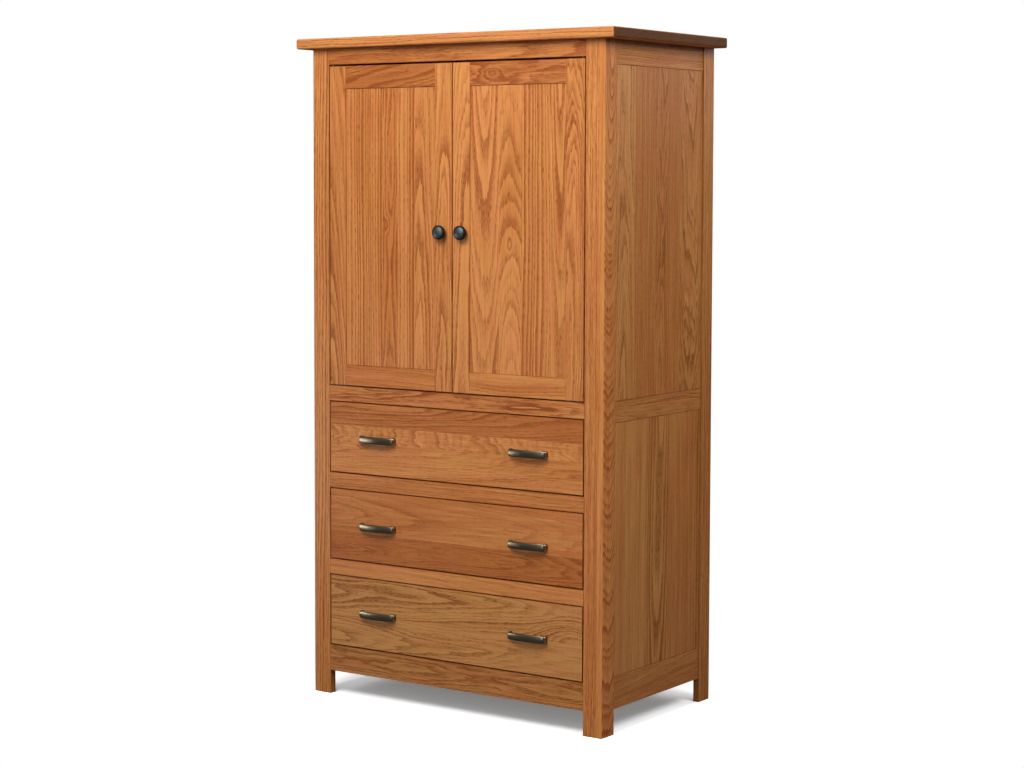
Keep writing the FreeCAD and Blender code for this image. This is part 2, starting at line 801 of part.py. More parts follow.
def make_slides():
    """The case members of all six slides, and each drawer's middle and drawer members."""
    case_members = []
    for number, name in enumerate(DRAWERS):
        for side in SIDES:
            case_members.append(channel(side, number, "0", "slide_metal",
                                        "(slide_thickness - slide_metal - slide_play)", "0"))
        near_x = "(slide_metal + slide_play)"
        middle = [
            channel(side, number, near_x, f"({near_x} + slide_metal)",
                    "(slide_thickness - slide_metal - slide_play / 2)", "slide_nesting")
            for side in SIDES
        ]
        name_node(f"{name}_slide_middle_members", grouped(*middle))
        inner_x = f"(2 * {near_x})"
        inner = [
            channel(side, number, inner_x, inner_x, "slide_thickness", "2 * slide_nesting")
            for side in SIDES
        ]
        name_node(f"{name}_drawer_slide_members", grouped(*inner))
    name_node("slide_case_members", grouped(*case_members))


def make_cleats():
    """The wooden cleats between the posts that carry the slides behind the front posts."""
    cleats = [
        block(
            across(side, INNER, SIDE_FACE),
            (f"{FRONT} + post_size", f"{BACK} - post_size"),
            about(slide_middle_height(number), "cleat_height / 2"),
        )
        for number in range(len(DRAWERS)) for side in SIDES
    ]
    name_node("slide_cleats", grouped(*cleats))


def dovetail(side, low, end, number):
    """One dovetail on a drawer side, which widens towards the side's own end."""
    middle = f"({low} + {2 * number + 1} * box_height / {2 * TAILS})"
    tail = doc.addObject("Part::Wedge", "Tail")
    start = BOX_FRONT if end == "front" else f"{BOX_FRONT} + box_depth - box_board"
    x = across(side, f"{BOX_HALF} - box_board", BOX_HALF)[0]
    bind_place(tail, (x, start, middle))
    wide, narrow = "tail_neck / 2 + tail_flare", "tail_neck / 2"
    first, last = (wide, narrow) if end == "front" else (narrow, wide)
    bounds = {
        "Xmin": "0", "X2min": "0", "Xmax": "box_board", "X2max": "box_board",
        "Ymin": "0", "Ymax": "box_board",
        "Zmin": f"-({first})", "Zmax": first, "Z2min": f"-({last})", "Z2max": last,
    }
    for attribute, formula in bounds.items():
        bind(tail, attribute, formula)
    return tail


def make_box(name, low):
    """A dovetailed drawer box: its inner front, back and two sides, grooved for the bottom."""
    high = f"{low} + box_height"
    back = f"{BOX_FRONT} + box_depth"
    tails = {
        (side, end): [dovetail(side, low, end, number) for number in range(TAILS)]
        for side in SIDES for end in ("front", "back")
    }
    reach = f"({BOX_HALF} - box_board + box_bottom_tongue)"
    inset = "(box_board - box_bottom_tongue)"
    lift = f"({low} + box_bottom_lift)"
    groove = block(
        (f"-({reach} + box_bottom_play)", f"{reach} + box_bottom_play"),
        (f"{BOX_FRONT} + {inset} - box_bottom_play", f"{back} - {inset} + box_bottom_play"),
        (f"{lift} - box_bottom_play", f"{lift} + box_bottom_thickness + box_bottom_play"),
    )
    boards = []
    for end in ("front", "back"):
        start = BOX_FRONT if end == "front" else f"{back} - box_board"
        board = block((f"-{BOX_HALF}", BOX_HALF), (start, f"{start} + box_board"), (low, high))
        sockets = tails[("left", end)] + tails[("right", end)]
        boards.append(trimmed(board, sockets + [groove]))
    for side in SIDES:
        board = block(
            across(side, f"{BOX_HALF} - box_board", BOX_HALF),
            (f"{BOX_FRONT} + box_board", f"{back} - box_board"),
            (low, high),
        )
        boards.append(trimmed(joined(board, *tails[(side, "front")], *tails[(side, "back")]), [groove]))
    name_node(f"{name}_drawer_box", grouped(*boards))
    bottom = block(
        (f"-{reach}", reach),
        (f"{BOX_FRONT} + {inset}", f"{back} - {inset}"),
        (lift, f"{lift} + box_bottom_thickness"),
    )
    name_node(f"{name}_drawer_bottom", bottom)


def make_pull(side, middle):
    """A bowed pull: a strap bent to a shallow arc, on a square foot at each end."""
    x = beside(side, "pull_from_middle")
    half, rise = "(pull_length / 2)", "(pull_reach - pull_end_reach)"
    radius = f"(({half} ^ 2 + {rise} ^ 2) / (2 * {rise}))"
    reach = (f"{FRONT} - pull_reach", FRONT)
    height = about(middle, "pull_height / 2")
    centre = (x, f"{FRONT} - pull_reach + {radius}", height[0])
    outside = rod("z", centre, radius, "pull_height")
    inside = rod("z", centre, f"{radius} - pull_strap", "pull_height")
    bowed = shared(block(about(x, half), reach, height), outside)
    gap = shared(block(about(x, f"{half} - pull_foot"), reach, height), inside)
    return trimmed(bowed, [gap])


def make_drawer(name, number):
    """One drawer: its show front, two pulls, the dovetailed box and its bottom."""
    low = drawer_floor(number)
    board = body_board(
        (f"-({INNER} - front_gap)", f"{INNER} - front_gap"),
        deep("front", "0", "front_thickness"),
        (f"{low} + front_gap", f"{low} + drawer_opening - front_gap"),
    )
    rounded(board, "front_arris", lambda middle, low, high: near(middle.y, low.y))
    name_node(f"{name}_drawer_front", board)
    middle = f"({low} + drawer_opening / 2)"
    name_node(f"{name}_drawer_pulls", grouped(*(make_pull(side, middle) for side in SIDES)))
    make_box(name, f"({low} + box_lift)")


def make_hinge_case_leaves():
    """The four leaves in the rails; also what has to be cut out of each rail for them."""
    lower = [case_leaf(side, DOOR_LOW, True) for side in SIDES]
    upper = [case_leaf(side, DOOR_HIGH, False) for side in SIDES]
    name_node("hinge_case_leaves", grouped(*lower, *upper))
    return {"front_middle_rail": lower, "front_top_rail": upper}


def build():
    """Make every sub-part, in the order in which the real piece goes together."""
    make_sheet()
    for side in SIDES:
        for end in ("front", "back"):
            make_post(side, end)
        make_side_rails(side)
        make_side_panels(side)
    make_front_rails(make_hinge_case_leaves())
    make_back_rails()
    make_back_panel()
    make_floor()
    make_shelf()
    make_top()
    make_cleats()
    make_slides()
    for number, name in enumerate(DRAWERS):
        make_drawer(name, number)
    for side in SIDES:
        make_door(side)
    make_catches()
    doc.recompute()


def write_parts():
    """Check the whole document, then write one STEP file for each sub-part."""
    for thing in doc.Objects:
        if "Invalid" in thing.State or "Error" in thing.State:
            raise RuntimeError(f"{thing.Name} ({thing.Label}) failed: {thing.State}")
    for node in nodes:
        if node.Shape.isNull() or not node.Shape.isValid() or not node.Shape.Solids:
            raise RuntimeError(f"{node.Label} has no valid shape")
    os.makedirs("parts", exist_ok=True)
    for node in nodes:
        node.Shape.exportStep(f"parts/{node.Label}.step")
    print(len(nodes), "sub-parts written")


build()
write_parts()
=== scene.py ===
"""The finish and the small hardware of a computer armoire in stained red oak.

The solids come from the frame. This script gives every board its own grain, turns the knobs and
bows the pulls, and adds the screws, in the order in which the cabinet is put together.
"""
from functools import partialmethod
from math import radians

import bpy
import numpy as np
from mathutils import Matrix, Vector


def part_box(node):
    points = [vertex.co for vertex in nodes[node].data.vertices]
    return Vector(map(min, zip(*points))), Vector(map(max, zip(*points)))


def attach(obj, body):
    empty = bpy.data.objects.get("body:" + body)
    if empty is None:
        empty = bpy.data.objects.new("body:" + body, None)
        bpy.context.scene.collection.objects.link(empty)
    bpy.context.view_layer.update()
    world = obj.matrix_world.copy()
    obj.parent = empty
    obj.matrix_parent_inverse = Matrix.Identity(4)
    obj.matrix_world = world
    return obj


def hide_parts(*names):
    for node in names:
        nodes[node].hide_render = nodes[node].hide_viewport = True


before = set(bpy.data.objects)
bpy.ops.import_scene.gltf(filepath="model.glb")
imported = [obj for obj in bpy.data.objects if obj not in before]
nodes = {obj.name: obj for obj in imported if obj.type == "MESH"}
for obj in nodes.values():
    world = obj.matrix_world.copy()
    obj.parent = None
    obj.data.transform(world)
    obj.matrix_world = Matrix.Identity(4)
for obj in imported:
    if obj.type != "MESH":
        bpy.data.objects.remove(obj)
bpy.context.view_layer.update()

# ------------------------------------------------------------
# The four posts.
# Each is a square stick of red oak under the top board, cut away below the rails to a thinner
# foot, an L in front and a board behind. The oak is stained a warm orange brown, which gathers
# in the pores of its early wood, and sealed with satin lacquer.

# The colours of pale, warm and stained wood. The second set is a darker, cooler copy of the same
# oak for the sides, the back right post and the lowest front boards: painted shade for the
# dimmer, cooler light that falls on them.
OAK = ((0.710, 0.280, 0.082, 1.0), (0.555, 0.178, 0.040, 1.0), (0.285, 0.062, 0.008, 1.0))
SHADED_OAK = ((0.620, 0.272, 0.082, 1.0), (0.500, 0.172, 0.044, 1.0), (0.230, 0.062, 0.004, 1.0))
GOLDEN, RUDDY = (0.985, 1.035, 0.95), (1.01, 0.965, 1.00)
# The deepest colour, a share of the warm one: stain in end grain, and at the edges stain and
# painted shade in the gaps and reveals.
DEEPEST_STAIN_AND_SHADE = (0.44, 0.24, 0.13)

# How often each noise changes in a metre across, through and along the grain.
BROAD_WANDER = (9.0, 9.0, 1.5)
FINE_WANDER = (75.0, 75.0, 8.0)
FLAMES = (95.0, 95.0, 5.0)
CURL = (26.0, 26.0, 75.0)
TINT = (45.0, 45.0, 4.0)
STREAKS = (310.0, 310.0, 9.0)
PORES = (1500.0, 1500.0, 60.0)
PORE_RANGE, TINT_RANGE = (0.46, 0.66), (0.32, 0.68)
SEED_STEP = (3.7, 1.9, 5.3)

# How far the noises move a ring, in metres, how a knot does, and how the rings bunch.
BROAD_SWING, FINE_SWING, STREAK_SWING = 0.036, 0.006, 0.0012
KNOT_STRETCH, KNOT_RISE = 2.2, 1.1
NO_KNOT = (0.0, 9.0, 0.01)
BUNCHING, BUNCH_SWING = 0.3, 1.5

# Where one ring is dark, then how much each cause adds to warmth, stain and roughness. A pair
# is a gain and what is there without it.
EARLY_WOOD = ((0.0, 0.20), (0.07, 1.0), (0.30, 0.75), (0.58, 0.20), (0.88, 0.0), (1.0, 0.05))
WARM_BROAD, WARM_FLAMES, WARM_RINGS = 1.1, 1.2, 0.4
RING_STRENGTH, PORED_RING = (1.05, 0.40), (0.9, 0.55)
# At the edges the darkening is stain and painted shade in the gaps and reveals.
PORE_STAIN, STREAK_STAIN, EDGE_STAIN_AND_SHADE, END_STAIN = 0.16, 0.90, 0.70, 0.65
STAINED_ROUGHNESS, END_ROUGHNESS = (0.16, 0.38), 0.20
EDGE_WIDTH = 0.0020
END_FACING = 0.7
PORE_DEPTH = 0.0003


class Wiring:
    """One node tree, with short ways to add and link its nodes."""

    def __init__(self, tree):
        self.tree = tree

    def feed(self, sockets, inputs):
        """Give each named socket its value, or a link to the socket that its value is."""
        for place, value in inputs.items():
            if isinstance(value, bpy.types.NodeSocket):
                self.tree.links.new(value, sockets[place])
            else:
                sockets[place].default_value = value

    def add(self, kind, inputs=None, **settings):
        """Add a node with its settings and inputs."""
        made = self.tree.nodes.new("ShaderNode" + kind)
        for name, value in settings.items():
            setattr(made, name, value)
        self.feed(made.inputs, inputs or {})
        return made

    def math(self, operation, *values, clamp=False):
        """A sum, product or other operation on numbers."""
        inputs = dict(enumerate(values))
        return self.add("Math", inputs, operation=operation, use_clamp=clamp).outputs[0]

    # a + b, a - b, a * b and a * b + c.
    plus = partialmethod(math, "ADD")
    less = partialmethod(math, "SUBTRACT")
    times = partialmethod(math, "MULTIPLY")
    scaled = partialmethod(math, "MULTIPLY_ADD")

    def vector(self, operation, *values):
        """An operation on vectors that gives a vector."""
        return self.add("VectorMath", dict(enumerate(values)), operation=operation).outputs[0]

    def split(self, place):
        """The three numbers of a vector."""
        return list(self.add("SeparateXYZ", {0: place}).outputs)

    def join(self, *numbers):
        """A vector of three numbers."""
        return self.add("CombineXYZ", dict(enumerate(numbers))).outputs[0]

    def choose(self, factor, low, high, kind):
        """A blend from low to high of a kind of value: FLOAT, VECTOR or RGBA."""
        first, out = {"FLOAT": (2, 0), "VECTOR": (4, 1), "RGBA": (6, 2)}[kind]
        inputs = {0: factor, first: low, first + 1: high}
        return self.add("Mix", inputs, data_type=kind, clamp_factor=True).outputs[out]

    def ease(self, value, low, high, start=0.0, end=1.0):
        """A smooth step of a value: start below low, end above high."""
        inputs = {0: value, 1: low, 2: high, 3: start, 4: end}
        return self.add("MapRange", inputs, interpolation_type="SMOOTHSTEP").outputs[0]

    def noise(self, place, stretch, detail=0.0):
        """A soft noise from 0 to 1 whose grains are 1 / stretch metres long on each axis."""
        scaled = self.vector("MULTIPLY", place, stretch)
        return self.add("TexNoise", {"Vector": scaled, "Scale": 1.0, "Detail": detail}).outputs[0]

    def swing(self, place, stretch, detail):
        """The same noise, from -0.5 to 0.5."""
        return self.less(self.noise(place, stretch, detail), 0.5)

    def curve(self, value, *stops):
        """A number that runs straight from one (place, height) stop to the next."""
        ramp = self.add("ValToRGB", {0: value})
        elements = ramp.color_ramp.elements
        for _ in stops[2:]:
            elements.new(0.5)
        for element, (place, height) in zip(elements, stops):
            element.position = place
            element.color = (height, height, height, 1.0)
        return ramp.outputs[0]


def shader_group(name, inputs, outputs):
    """An empty group with named sockets: its wiring, what it is given and what it puts out."""
    group = bpy.data.node_groups.new(name, "ShaderNodeTree")
    for title, kind in inputs.items():
        group.interface.new_socket(title, in_out="INPUT", socket_type="NodeSocket" + kind)
    for title, kind in outputs.items():
        group.interface.new_socket(title, in_out="OUTPUT", socket_type="NodeSocket" + kind)
    given = group.nodes.new("NodeGroupInput").outputs
    result = group.nodes.new("NodeGroupOutput").inputs
    return Wiring(group), given, result


def make_sawn_wood():
    """The colour, roughness and height of a board sawn from a log.

    The rings of a log are shells about its pith, a line that leans through the board, so a
    point's ring is its distance from that line, plus a broad and a fine noise drawn out along
    the grain, divided by the ring spacing. Each ring starts with a dark porous band that fades
    into plain wood, and is as dark as its own random number says. A knot pushes the rings away
    from it by a bell of its distance, so that they close round it. Pores are a fine noise drawn
    out along the grain, cut off below a threshold. Curl is a noise drawn out across the grain.
    The stain lies in the rings and pores, and deeper still in end grain and at the edges, where
    the darkening is also painted shade in the gaps and reveals.
    """
    net, given, result = shader_group(
        "Sawn wood",
        {"Place": "Vector", "Pith": "Vector", "Lean": "Vector", "Figure": "Vector",
         "Finish": "Vector", "Knot": "Vector", "Pores": "Float", "End grain": "Float",
         "Edge": "Float", "Deeper": "Vector", "Pale": "Color", "Warm": "Color", "Stain": "Color"},
        {"Color": "Color", "Roughness": "Float", "Height": "Float"},
    )
    across, through, along = net.split(given["Place"])
    pith_across, pith_through, seed = net.split(given["Pith"])
    lean_across, lean_through, spacing = net.split(given["Lean"])
    wave, contrast, tone = net.split(given["Figure"])
    curl, depth, _ = net.split(given["Finish"])
    knot_across, knot_along, knot_size = net.split(given["Knot"])
    seeds = net.join(seed, seed, seed)
    place = net.vector("ADD", given["Place"], net.vector("MULTIPLY", seeds, SEED_STEP))

    broad = net.swing(place, BROAD_WANDER, detail=1.0)
    fine = net.swing(place, FINE_WANDER, detail=2.0)
    flame = net.swing(place, FLAMES, detail=1.0)
    ripple = net.swing(place, CURL, detail=1.0)
    streak = net.swing(place, STREAKS, detail=1.0)
    pore = net.ease(net.noise(place, PORES), *PORE_RANGE)

    aside = net.less(across, net.scaled(lean_across, along, pith_across))
    below = net.less(through, net.scaled(lean_through, along, pith_through))
    flat = net.scaled(below, below, net.times(aside, aside))
    wander = net.scaled(fine, FINE_SWING, net.times(broad, BROAD_SWING))
    wander = net.scaled(streak, STREAK_SWING, net.times(wander, wave))
    aside = net.math("DIVIDE", net.less(across, knot_across), knot_size)
    below = net.math("DIVIDE", net.less(along, knot_along), net.times(knot_size, KNOT_STRETCH))
    away = net.scaled(below, below, net.times(aside, aside))
    knot = net.math("EXPONENT", net.times(away, -1.0))
    push = net.times(knot, net.times(knot_size, KNOT_RISE))
    distance = net.plus(net.plus(net.math("SQRT", flat), wander), push)
    rings = net.math("DIVIDE", distance, spacing)
    bunches = {"W": net.scaled(rings, BUNCHING, seed), "Scale": 1.0, "Detail": 0.0}
    uneven = net.add("TexNoise", bunches, noise_dimensions="1D").outputs[0]
    count = net.scaled(uneven, BUNCH_SWING, rings)
    number = net.plus(net.math("FLOOR", count), seed)
    strength = net.add("TexWhiteNoise", {"W": number}, noise_dimensions="1D").outputs["Value"]
    early = net.curve(net.math("FRACT", count), *EARLY_WOOD)

    warmth = net.scaled(broad, WARM_BROAD, tone)
    warmth = net.scaled(flame, WARM_FLAMES, warmth)
    off = net.less(strength, 0.5)
    warmth = net.scaled(off, WARM_RINGS, warmth, clamp=True)
    body = net.choose(warmth, given["Pale"], given["Warm"], "RGBA")
    tint = net.ease(net.noise(place, TINT, detail=1.0), *TINT_RANGE)
    body = net.vector("MULTIPLY", body, net.choose(tint, RUDDY, GOLDEN, "VECTOR"))
    pored = net.times(pore, given["Pores"])
    ring = net.times(early, net.scaled(strength, *RING_STRENGTH))
    ring = net.times(ring, net.scaled(pored, *PORED_RING))
    dark = net.scaled(ring, contrast, net.times(pored, PORE_STAIN))
    dark = net.scaled(streak, STREAK_STAIN, dark)
    dark = net.plus(net.scaled(ripple, curl, dark), depth, clamp=True)
    lined = net.choose(dark, body, given["Stain"], "RGBA")
    # Edges darken with stain and painted shade, end grain with stain.
    deep = net.times(given["Edge"], EDGE_STAIN_AND_SHADE)
    deep = net.scaled(given["End grain"], END_STAIN, deep, clamp=True)
    deepest = net.vector("MULTIPLY", given["Warm"], given["Deeper"])
    rough = net.scaled(dark, *STAINED_ROUGHNESS)
    net.feed(result, {
        "Color": net.choose(deep, lined, deepest, "RGBA"),
        "Roughness": net.scaled(given["End grain"], END_ROUGHNESS, rough),
        "Height": net.times(pore, -1.0),
    })
    return net.tree


def make_edge_shade():
    """How close a point of a box is to one of its edges, from 0 to 1 at the edge itself.

    On a face one of the three distances to the box's sides is nothing, so the middle one of the
    three is the distance to the nearest edge: their sum less the least and the greatest. It masks
    the stain and the painted shade along board edges.
    """
    net, given, result = shader_group(
        "Edge shade", {"Place": "Vector", "Half size": "Vector"}, {"Edge": "Float"})
    inward = net.vector("SUBTRACT", given["Half size"], net.vector("ABSOLUTE", given["Place"]))
    inward = net.vector("MAXIMUM", inward, (0.0, 0.0, 0.0))
    a, b, c = net.split(inward)
    total = net.plus(net.plus(a, b), c)
    least = net.math("MINIMUM", net.math("MINIMUM", a, b), c)
    most = net.math("MAXIMUM", net.math("MAXIMUM", a, b), c)
    middle = net.less(net.less(total, least), most)
    net.feed(result, {"Edge": net.ease(middle, 0.0, EDGE_WIDTH, start=1.0, end=0.0)})
    return net.tree


sawn_wood = make_sawn_wood()
edge_shade = make_edge_shade()


def board(corners, pith, lean=(0.0, 0.0), rings=4.0, wave=1.0, contrast=1.0, tone=0.5,
          curl=0.0, depth=0.0, knot=NO_KNOT, seed=0.0, share=(0.0, 1.0)):
    """How one board was sawn.

    corners are those of what shows of it, or of the panel that it was glued into, and share is
    then its part of the panel's width. pith is how far the pith lies from the board's middle,
    across and through, and lean how far it drifts for each metre along, all in metres. rings is
    the ring spacing in millimetres, wave how far the rings wander, and tone runs from pale to
    warm. curl is how strongly the fibres ripple, and depth how much more stain the board took.
    knot is the place of a knot, across and along from the middle, and its radius.
    """
    return {"corners": corners, "share": share, "pith": pith, "lean": lean,
            "spacing": rings / 1000, "figure": (wave, contrast, tone),
            "finish": (curl, depth, 0.0), "knot": knot, "seed": seed}


def glued(corners, cuts, seed, **usual):
    """Boards glued edge to edge, or one alone.

    A cut is where its board ends, as a share of the width, and how the board was sawn, where
    that isn't as usual.
    """
    starts = (0.0, *(end for end, _ in cuts))
    return [
        board(corners, share=(start, end), seed=seed + step, **{**usual, **cut})
        for step, (start, (end, cut)) in enumerate(zip(starts, cuts))
    ]


def sawn(wood, axes):
    """The values that the shader takes for one board, with its axes in the grain's order."""
    low, high = (np.array(corner)[axes] for corner in wood["corners"])
    start, end = (low[0] + part * (high[0] - low[0]) for part in wood["share"])
    middle = (low + high) / 2
    aside = (start + end) / 2 - middle[0]
    pith_across = aside + wood["pith"][0]
    return start, {
        "Middle": tuple(middle),
        "Half size": tuple((high - low) / 2),
        "Pith": (pith_across, wood["pith"][1], wood["seed"]),
        "Lean": (*wood["lean"], wood["spacing"]),
        "Figure": wood["figure"],
        "Finish": wood["finish"],
        "Knot": (aside + wood["knot"][0], *wood["knot"][1:]),
    }


def new_material(name):
    """A new material: its wiring and its surface shader."""
    material = bpy.data.materials.new(name)
    material.use_nodes = True
    net = Wiring(material.node_tree)
    return material, net, net.tree.nodes["Principled BSDF"]


def bumped(net, surface, height, distance, strength=0.5):
    """Raise a surface by a height, whose full range is a distance in metres."""
    bump = net.add("Bump", {"Height": height, "Distance": distance, "Strength": strength})
    net.feed(surface.inputs, {"Normal": bump.outputs[0]})


def dress(name, material):
    """Give a solid of the frame its finish."""
    for slot in nodes[name].material_slots:
        slot.material = material


def dress_wood(name, along, face, *boards, pores=1.0, end=1.0, edge=1.0, deeper=DEEPEST_STAIN_AND_SHADE,
               colours=OAK, turned=None):
    """Give a solid the finish of a board, or of boards side by side, grain along one axis.

    face is the axis that the shown face looks along, and the third one runs across the boards,
    which are listed in that direction. end is how much more stain the end grain took, and edge
    how much darker the edges are, from stain and from painted shade in the gaps and reveals;
    deeper is what is left of the warm colour there. turned is a rule for where the grain runs
    the other way.
    """
    material, net, surface = new_material(name)
    axes = [3 - "xyz".index(along) - "xyz".index(face), "xyz".index(face), "xyz".index(along)]
    spot = net.add("TexCoord")
    position = net.split(spot.outputs["Object"])
    place = net.join(*(position[axis] for axis in axes))
    _, chosen = sawn(boards[0], axes)
    for wood in boards[1:]:
        start, other = sawn(wood, axes)
        beyond = net.math("GREATER_THAN", position[axes[0]], start)
        chosen = {key: net.choose(beyond, chosen[key], other[key], "VECTOR") for key in chosen}
    local = net.vector("SUBTRACT", place, chosen.pop("Middle"))
    normals = net.split(net.vector("ABSOLUTE", spot.outputs["Normal"]))
    facing = normals[axes[2]]
    # The edge mask carries the stain and the painted shade along the board's edges.
    box = {"Place": local, "Half size": chosen.pop("Half size")}
    corner = net.add("Group", box, node_tree=edge_shade)
    if turned:
        local, facing = turned(net, position, normals, local, facing)
    pale, warm, stain = colours
    grain = net.add("Group", {
        **chosen, "Place": local, "Pores": pores,
        "End grain": net.times(net.math("GREATER_THAN", facing, END_FACING), end),
        "Edge": net.times(corner.outputs["Edge"], edge),
        "Deeper": deeper, "Pale": pale, "Warm": warm, "Stain": stain,
    }, node_tree=sawn_wood)
    net.feed(surface.inputs, {
        "Base Color": grain.outputs["Color"], "Roughness": grain.outputs["Roughness"],
        "Specular IOR Level": 0.20, "Coat Weight": 0.03, "Coat Roughness": 0.25,
    })
    bumped(net, surface, grain.outputs["Height"], distance=PORE_DEPTH)
    dress(name, material)


def shown(name, **spans):
    """The corners of a node's box, with some of its axes narrowed to what shows of it."""
    low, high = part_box(name)
    for axis, span in spans.items():
        low["xyz".index(axis)], high["xyz".index(axis)] = span
    return low, high


POST_CUTS = {
    "front_left_post": (
        (1.0, dict(pith=(-0.09, 0.07), lean=(0.01, 0.0), rings=6.0, tone=0.2, depth=0.1)),
    ),
    "front_right_post": (
        (0.7, dict(pith=(0.15, 0.06), lean=(0.0, 0.012), rings=3.6, tone=0.4, contrast=1.0)),
        (0.98, dict(pith=(0.2, 0.06), lean=(0.01, 0.0), contrast=0.25, tone=0.35)),
        (1.0, dict(pith=(-0.108, -0.004), lean=(0.11, 0.01), rings=3.0, tone=0.6, wave=0.5)),
    ),
    "back_left_post": (
        (1.0, dict(pith=(0.08, 0.05), lean=(0.012, 0.0), rings=4.5, tone=0.45)),
    ),
    "back_right_post": (
        (1.0, dict(pith=(0.06, -0.05), lean=(0.008, 0.02), tone=0.6, contrast=1.0)),
    ),
}
for number, (name, cuts) in enumerate(POST_CUTS.items()):
    sticks = glued(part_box(name), cuts, seed=1 + 3 * number, wave=0.6, contrast=0.8)
    # The back right post shows on the side, so it takes the painted side shade.
    colours = SHADED_OAK if name == "back_right_post" else OAK
    dress_wood(name, "z", "y", *sticks, edge=0.6, colours=colours)

# ------------------------------------------------------------
# The five rails between the front posts.
# They are 22 mm boards, flush with the posts and tenoned into them: one above the doors, one
# below, one between each two drawers and a deeper one at the bottom.

between_posts = (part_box("front_left_post")[1].x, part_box("front_right_post")[0].x)
RAIL_CUTS = {
    "front_top_rail": dict(pith=(0.02, 0.16), lean=(0.0, 0.02), rings=6.0, wave=0.6, tone=0.7,
                           depth=0.12),
    "front_middle_rail": dict(pith=(0.01, 0.03), lean=(0.02, 0.03), rings=9.0, wave=2.0,
                              tone=0.35, contrast=1.3, depth=0.18),
    "upper_divider_rail": dict(pith=(0.1, 0.12), lean=(0.01, 0.0), contrast=0.4, tone=0.45,
                               depth=0.12),
    "lower_divider_rail": dict(pith=(-0.11, 0.15), lean=(0.0, 0.02), contrast=0.25, tone=0.25,
                               depth=0.05),
    "front_bottom_rail": dict(pith=(0.01, 0.05), lean=(0.02, 0.01), wave=1.5, tone=0.5,
                              contrast=0.8, depth=0.08),
}
for seed, (name, cut) in enumerate(RAIL_CUTS.items(), start=11):
    figure = board(shown(name, x=between_posts), seed=seed, **cut)
    # The bottom rail takes the darker, cooler copy: painted shade low on the front.
    colours = SHADED_OAK if name == "front_bottom_rail" else OAK
    # The top rail's edges are darkened more: painted shade for the dark gap above the doors.
    edge = 1.4 if name == "front_top_rail" else 0.8
    dress_wood(name, "x", "y", figure, edge=edge, colours=colours)

# ------------------------------------------------------------
# The framed sides.
# Each side has three rails between its posts, and two panels of narrow boards glued edge to
# edge, which lie loose in the grooves so that the wood can move.

side_between_posts = (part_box("front_right_post")[1].y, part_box("back_right_post")[0].y)
SIDES = ("left", "right")
SIDE_RAIL_HEIGHTS = (0.066, 0.151), (0.816, 0.872), (1.738, 1.801)
UPPER_BOARDS = (
    (0.22, dict(pith=(-0.006, -0.04), lean=(0.0, -0.05), rings=5.0, wave=1.2, tone=0.32,
                contrast=0.7)),
    (0.46, dict(pith=(0.12, -0.09), lean=(0.01, 0.0), tone=0.95, contrast=0.6)),
    (0.6, dict(pith=(0.005, -0.02), lean=(0.01, 0.012), rings=5.0, wave=1.6, tone=0.95)),
    (0.74, dict(pith=(-0.12, -0.08), lean=(0.0, 0.01), tone=0.95, contrast=0.5)),
    (1.0, dict(pith=(-0.012, -0.06), lean=(0.01, 0.07), rings=3.6, wave=1.6, tone=0.45,
               contrast=0.85)),
)
LOWER_BOARDS = (
    (0.36, dict(pith=(-0.15, -0.16), lean=(0.01, 0.0), tone=0.45, contrast=0.25)),
    (0.62, dict(pith=(0.01, -0.05), lean=(0.01, 0.015), rings=7.0, tone=0.7)),
    (0.9, dict(pith=(0.15, -0.1), tone=0.7, contrast=0.35)),
    (1.0, dict(pith=(-0.08, -0.06), lean=(0.01, 0.0), rings=7.0, tone=0.9)),
)
(_, above_bottom), (below_middle, above_middle), (below_top, _) = SIDE_RAIL_HEIGHTS
SIDE_PANELS = (
    ("lower", LOWER_BOARDS, (above_bottom, below_middle)),
    ("upper", UPPER_BOARDS, (above_middle, below_top)),
)
# The sides' rails and panels take the darker, cooler copy of the oak: painted side shade.
for number, side in enumerate(SIDES):
    name = f"{side}_side_rails"
    rails = [
        board(shown(name, y=side_between_posts, z=heights), pith=(0.030 - 0.05 * step, 0.06),
              lean=(0.02, 0.02), rings=3.5, tone=0.75, contrast=0.6, seed=21 + 3 * number + step)
        for step, heights in enumerate(SIDE_RAIL_HEIGHTS)
    ]
    dress_wood(name, "y", "x", *rails, edge=0.5, colours=SHADED_OAK)
    for place, cuts, heights in SIDE_PANELS:
        name = f"{side}_{place}_panel"
        corners = shown(name, y=side_between_posts, z=heights)
        boards = glued(corners, cuts, seed=31 + 12 * number, wave=0.8)
        dress_wood(name, "z", "x", *boards, edge=0.5, colours=SHADED_OAK)

# ------------------------------------------------------------
# The back.
# A thin plywood panel lies in the posts' rabbets on three rails. A black plastic grommet lines
# the hole for the cables.

BIRCH = ((0.670, 0.420, 0.215, 1.0), (0.590, 0.335, 0.155, 1.0), (0.380, 0.180, 0.080, 1.0))
BACK_RAIL_HEIGHTS = ((0.066, 0.126), (0.7915, 0.8515), (1.741, 1.801))
MOULD_GRAIN, MOULD_DEPTH = (2500.0, 2500.0, 2500.0), 0.00008

back_rails = [
    board(shown("back_rails", x=between_posts, z=heights), pith=(0.02, 0.05), lean=(0.01, 0.01),
          seed=51 + step)
    for step, heights in enumerate(BACK_RAIL_HEIGHTS)
]
dress_wood("back_rails", "x", "y", *back_rails)
veneer = board(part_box("back_panel"), pith=(0.1, 0.3), lean=(0.02, 0.03), rings=9.0, wave=3.0,
               contrast=0.6, seed=55)
dress_wood("back_panel", "z", "y", veneer, pores=0.2, colours=BIRCH)


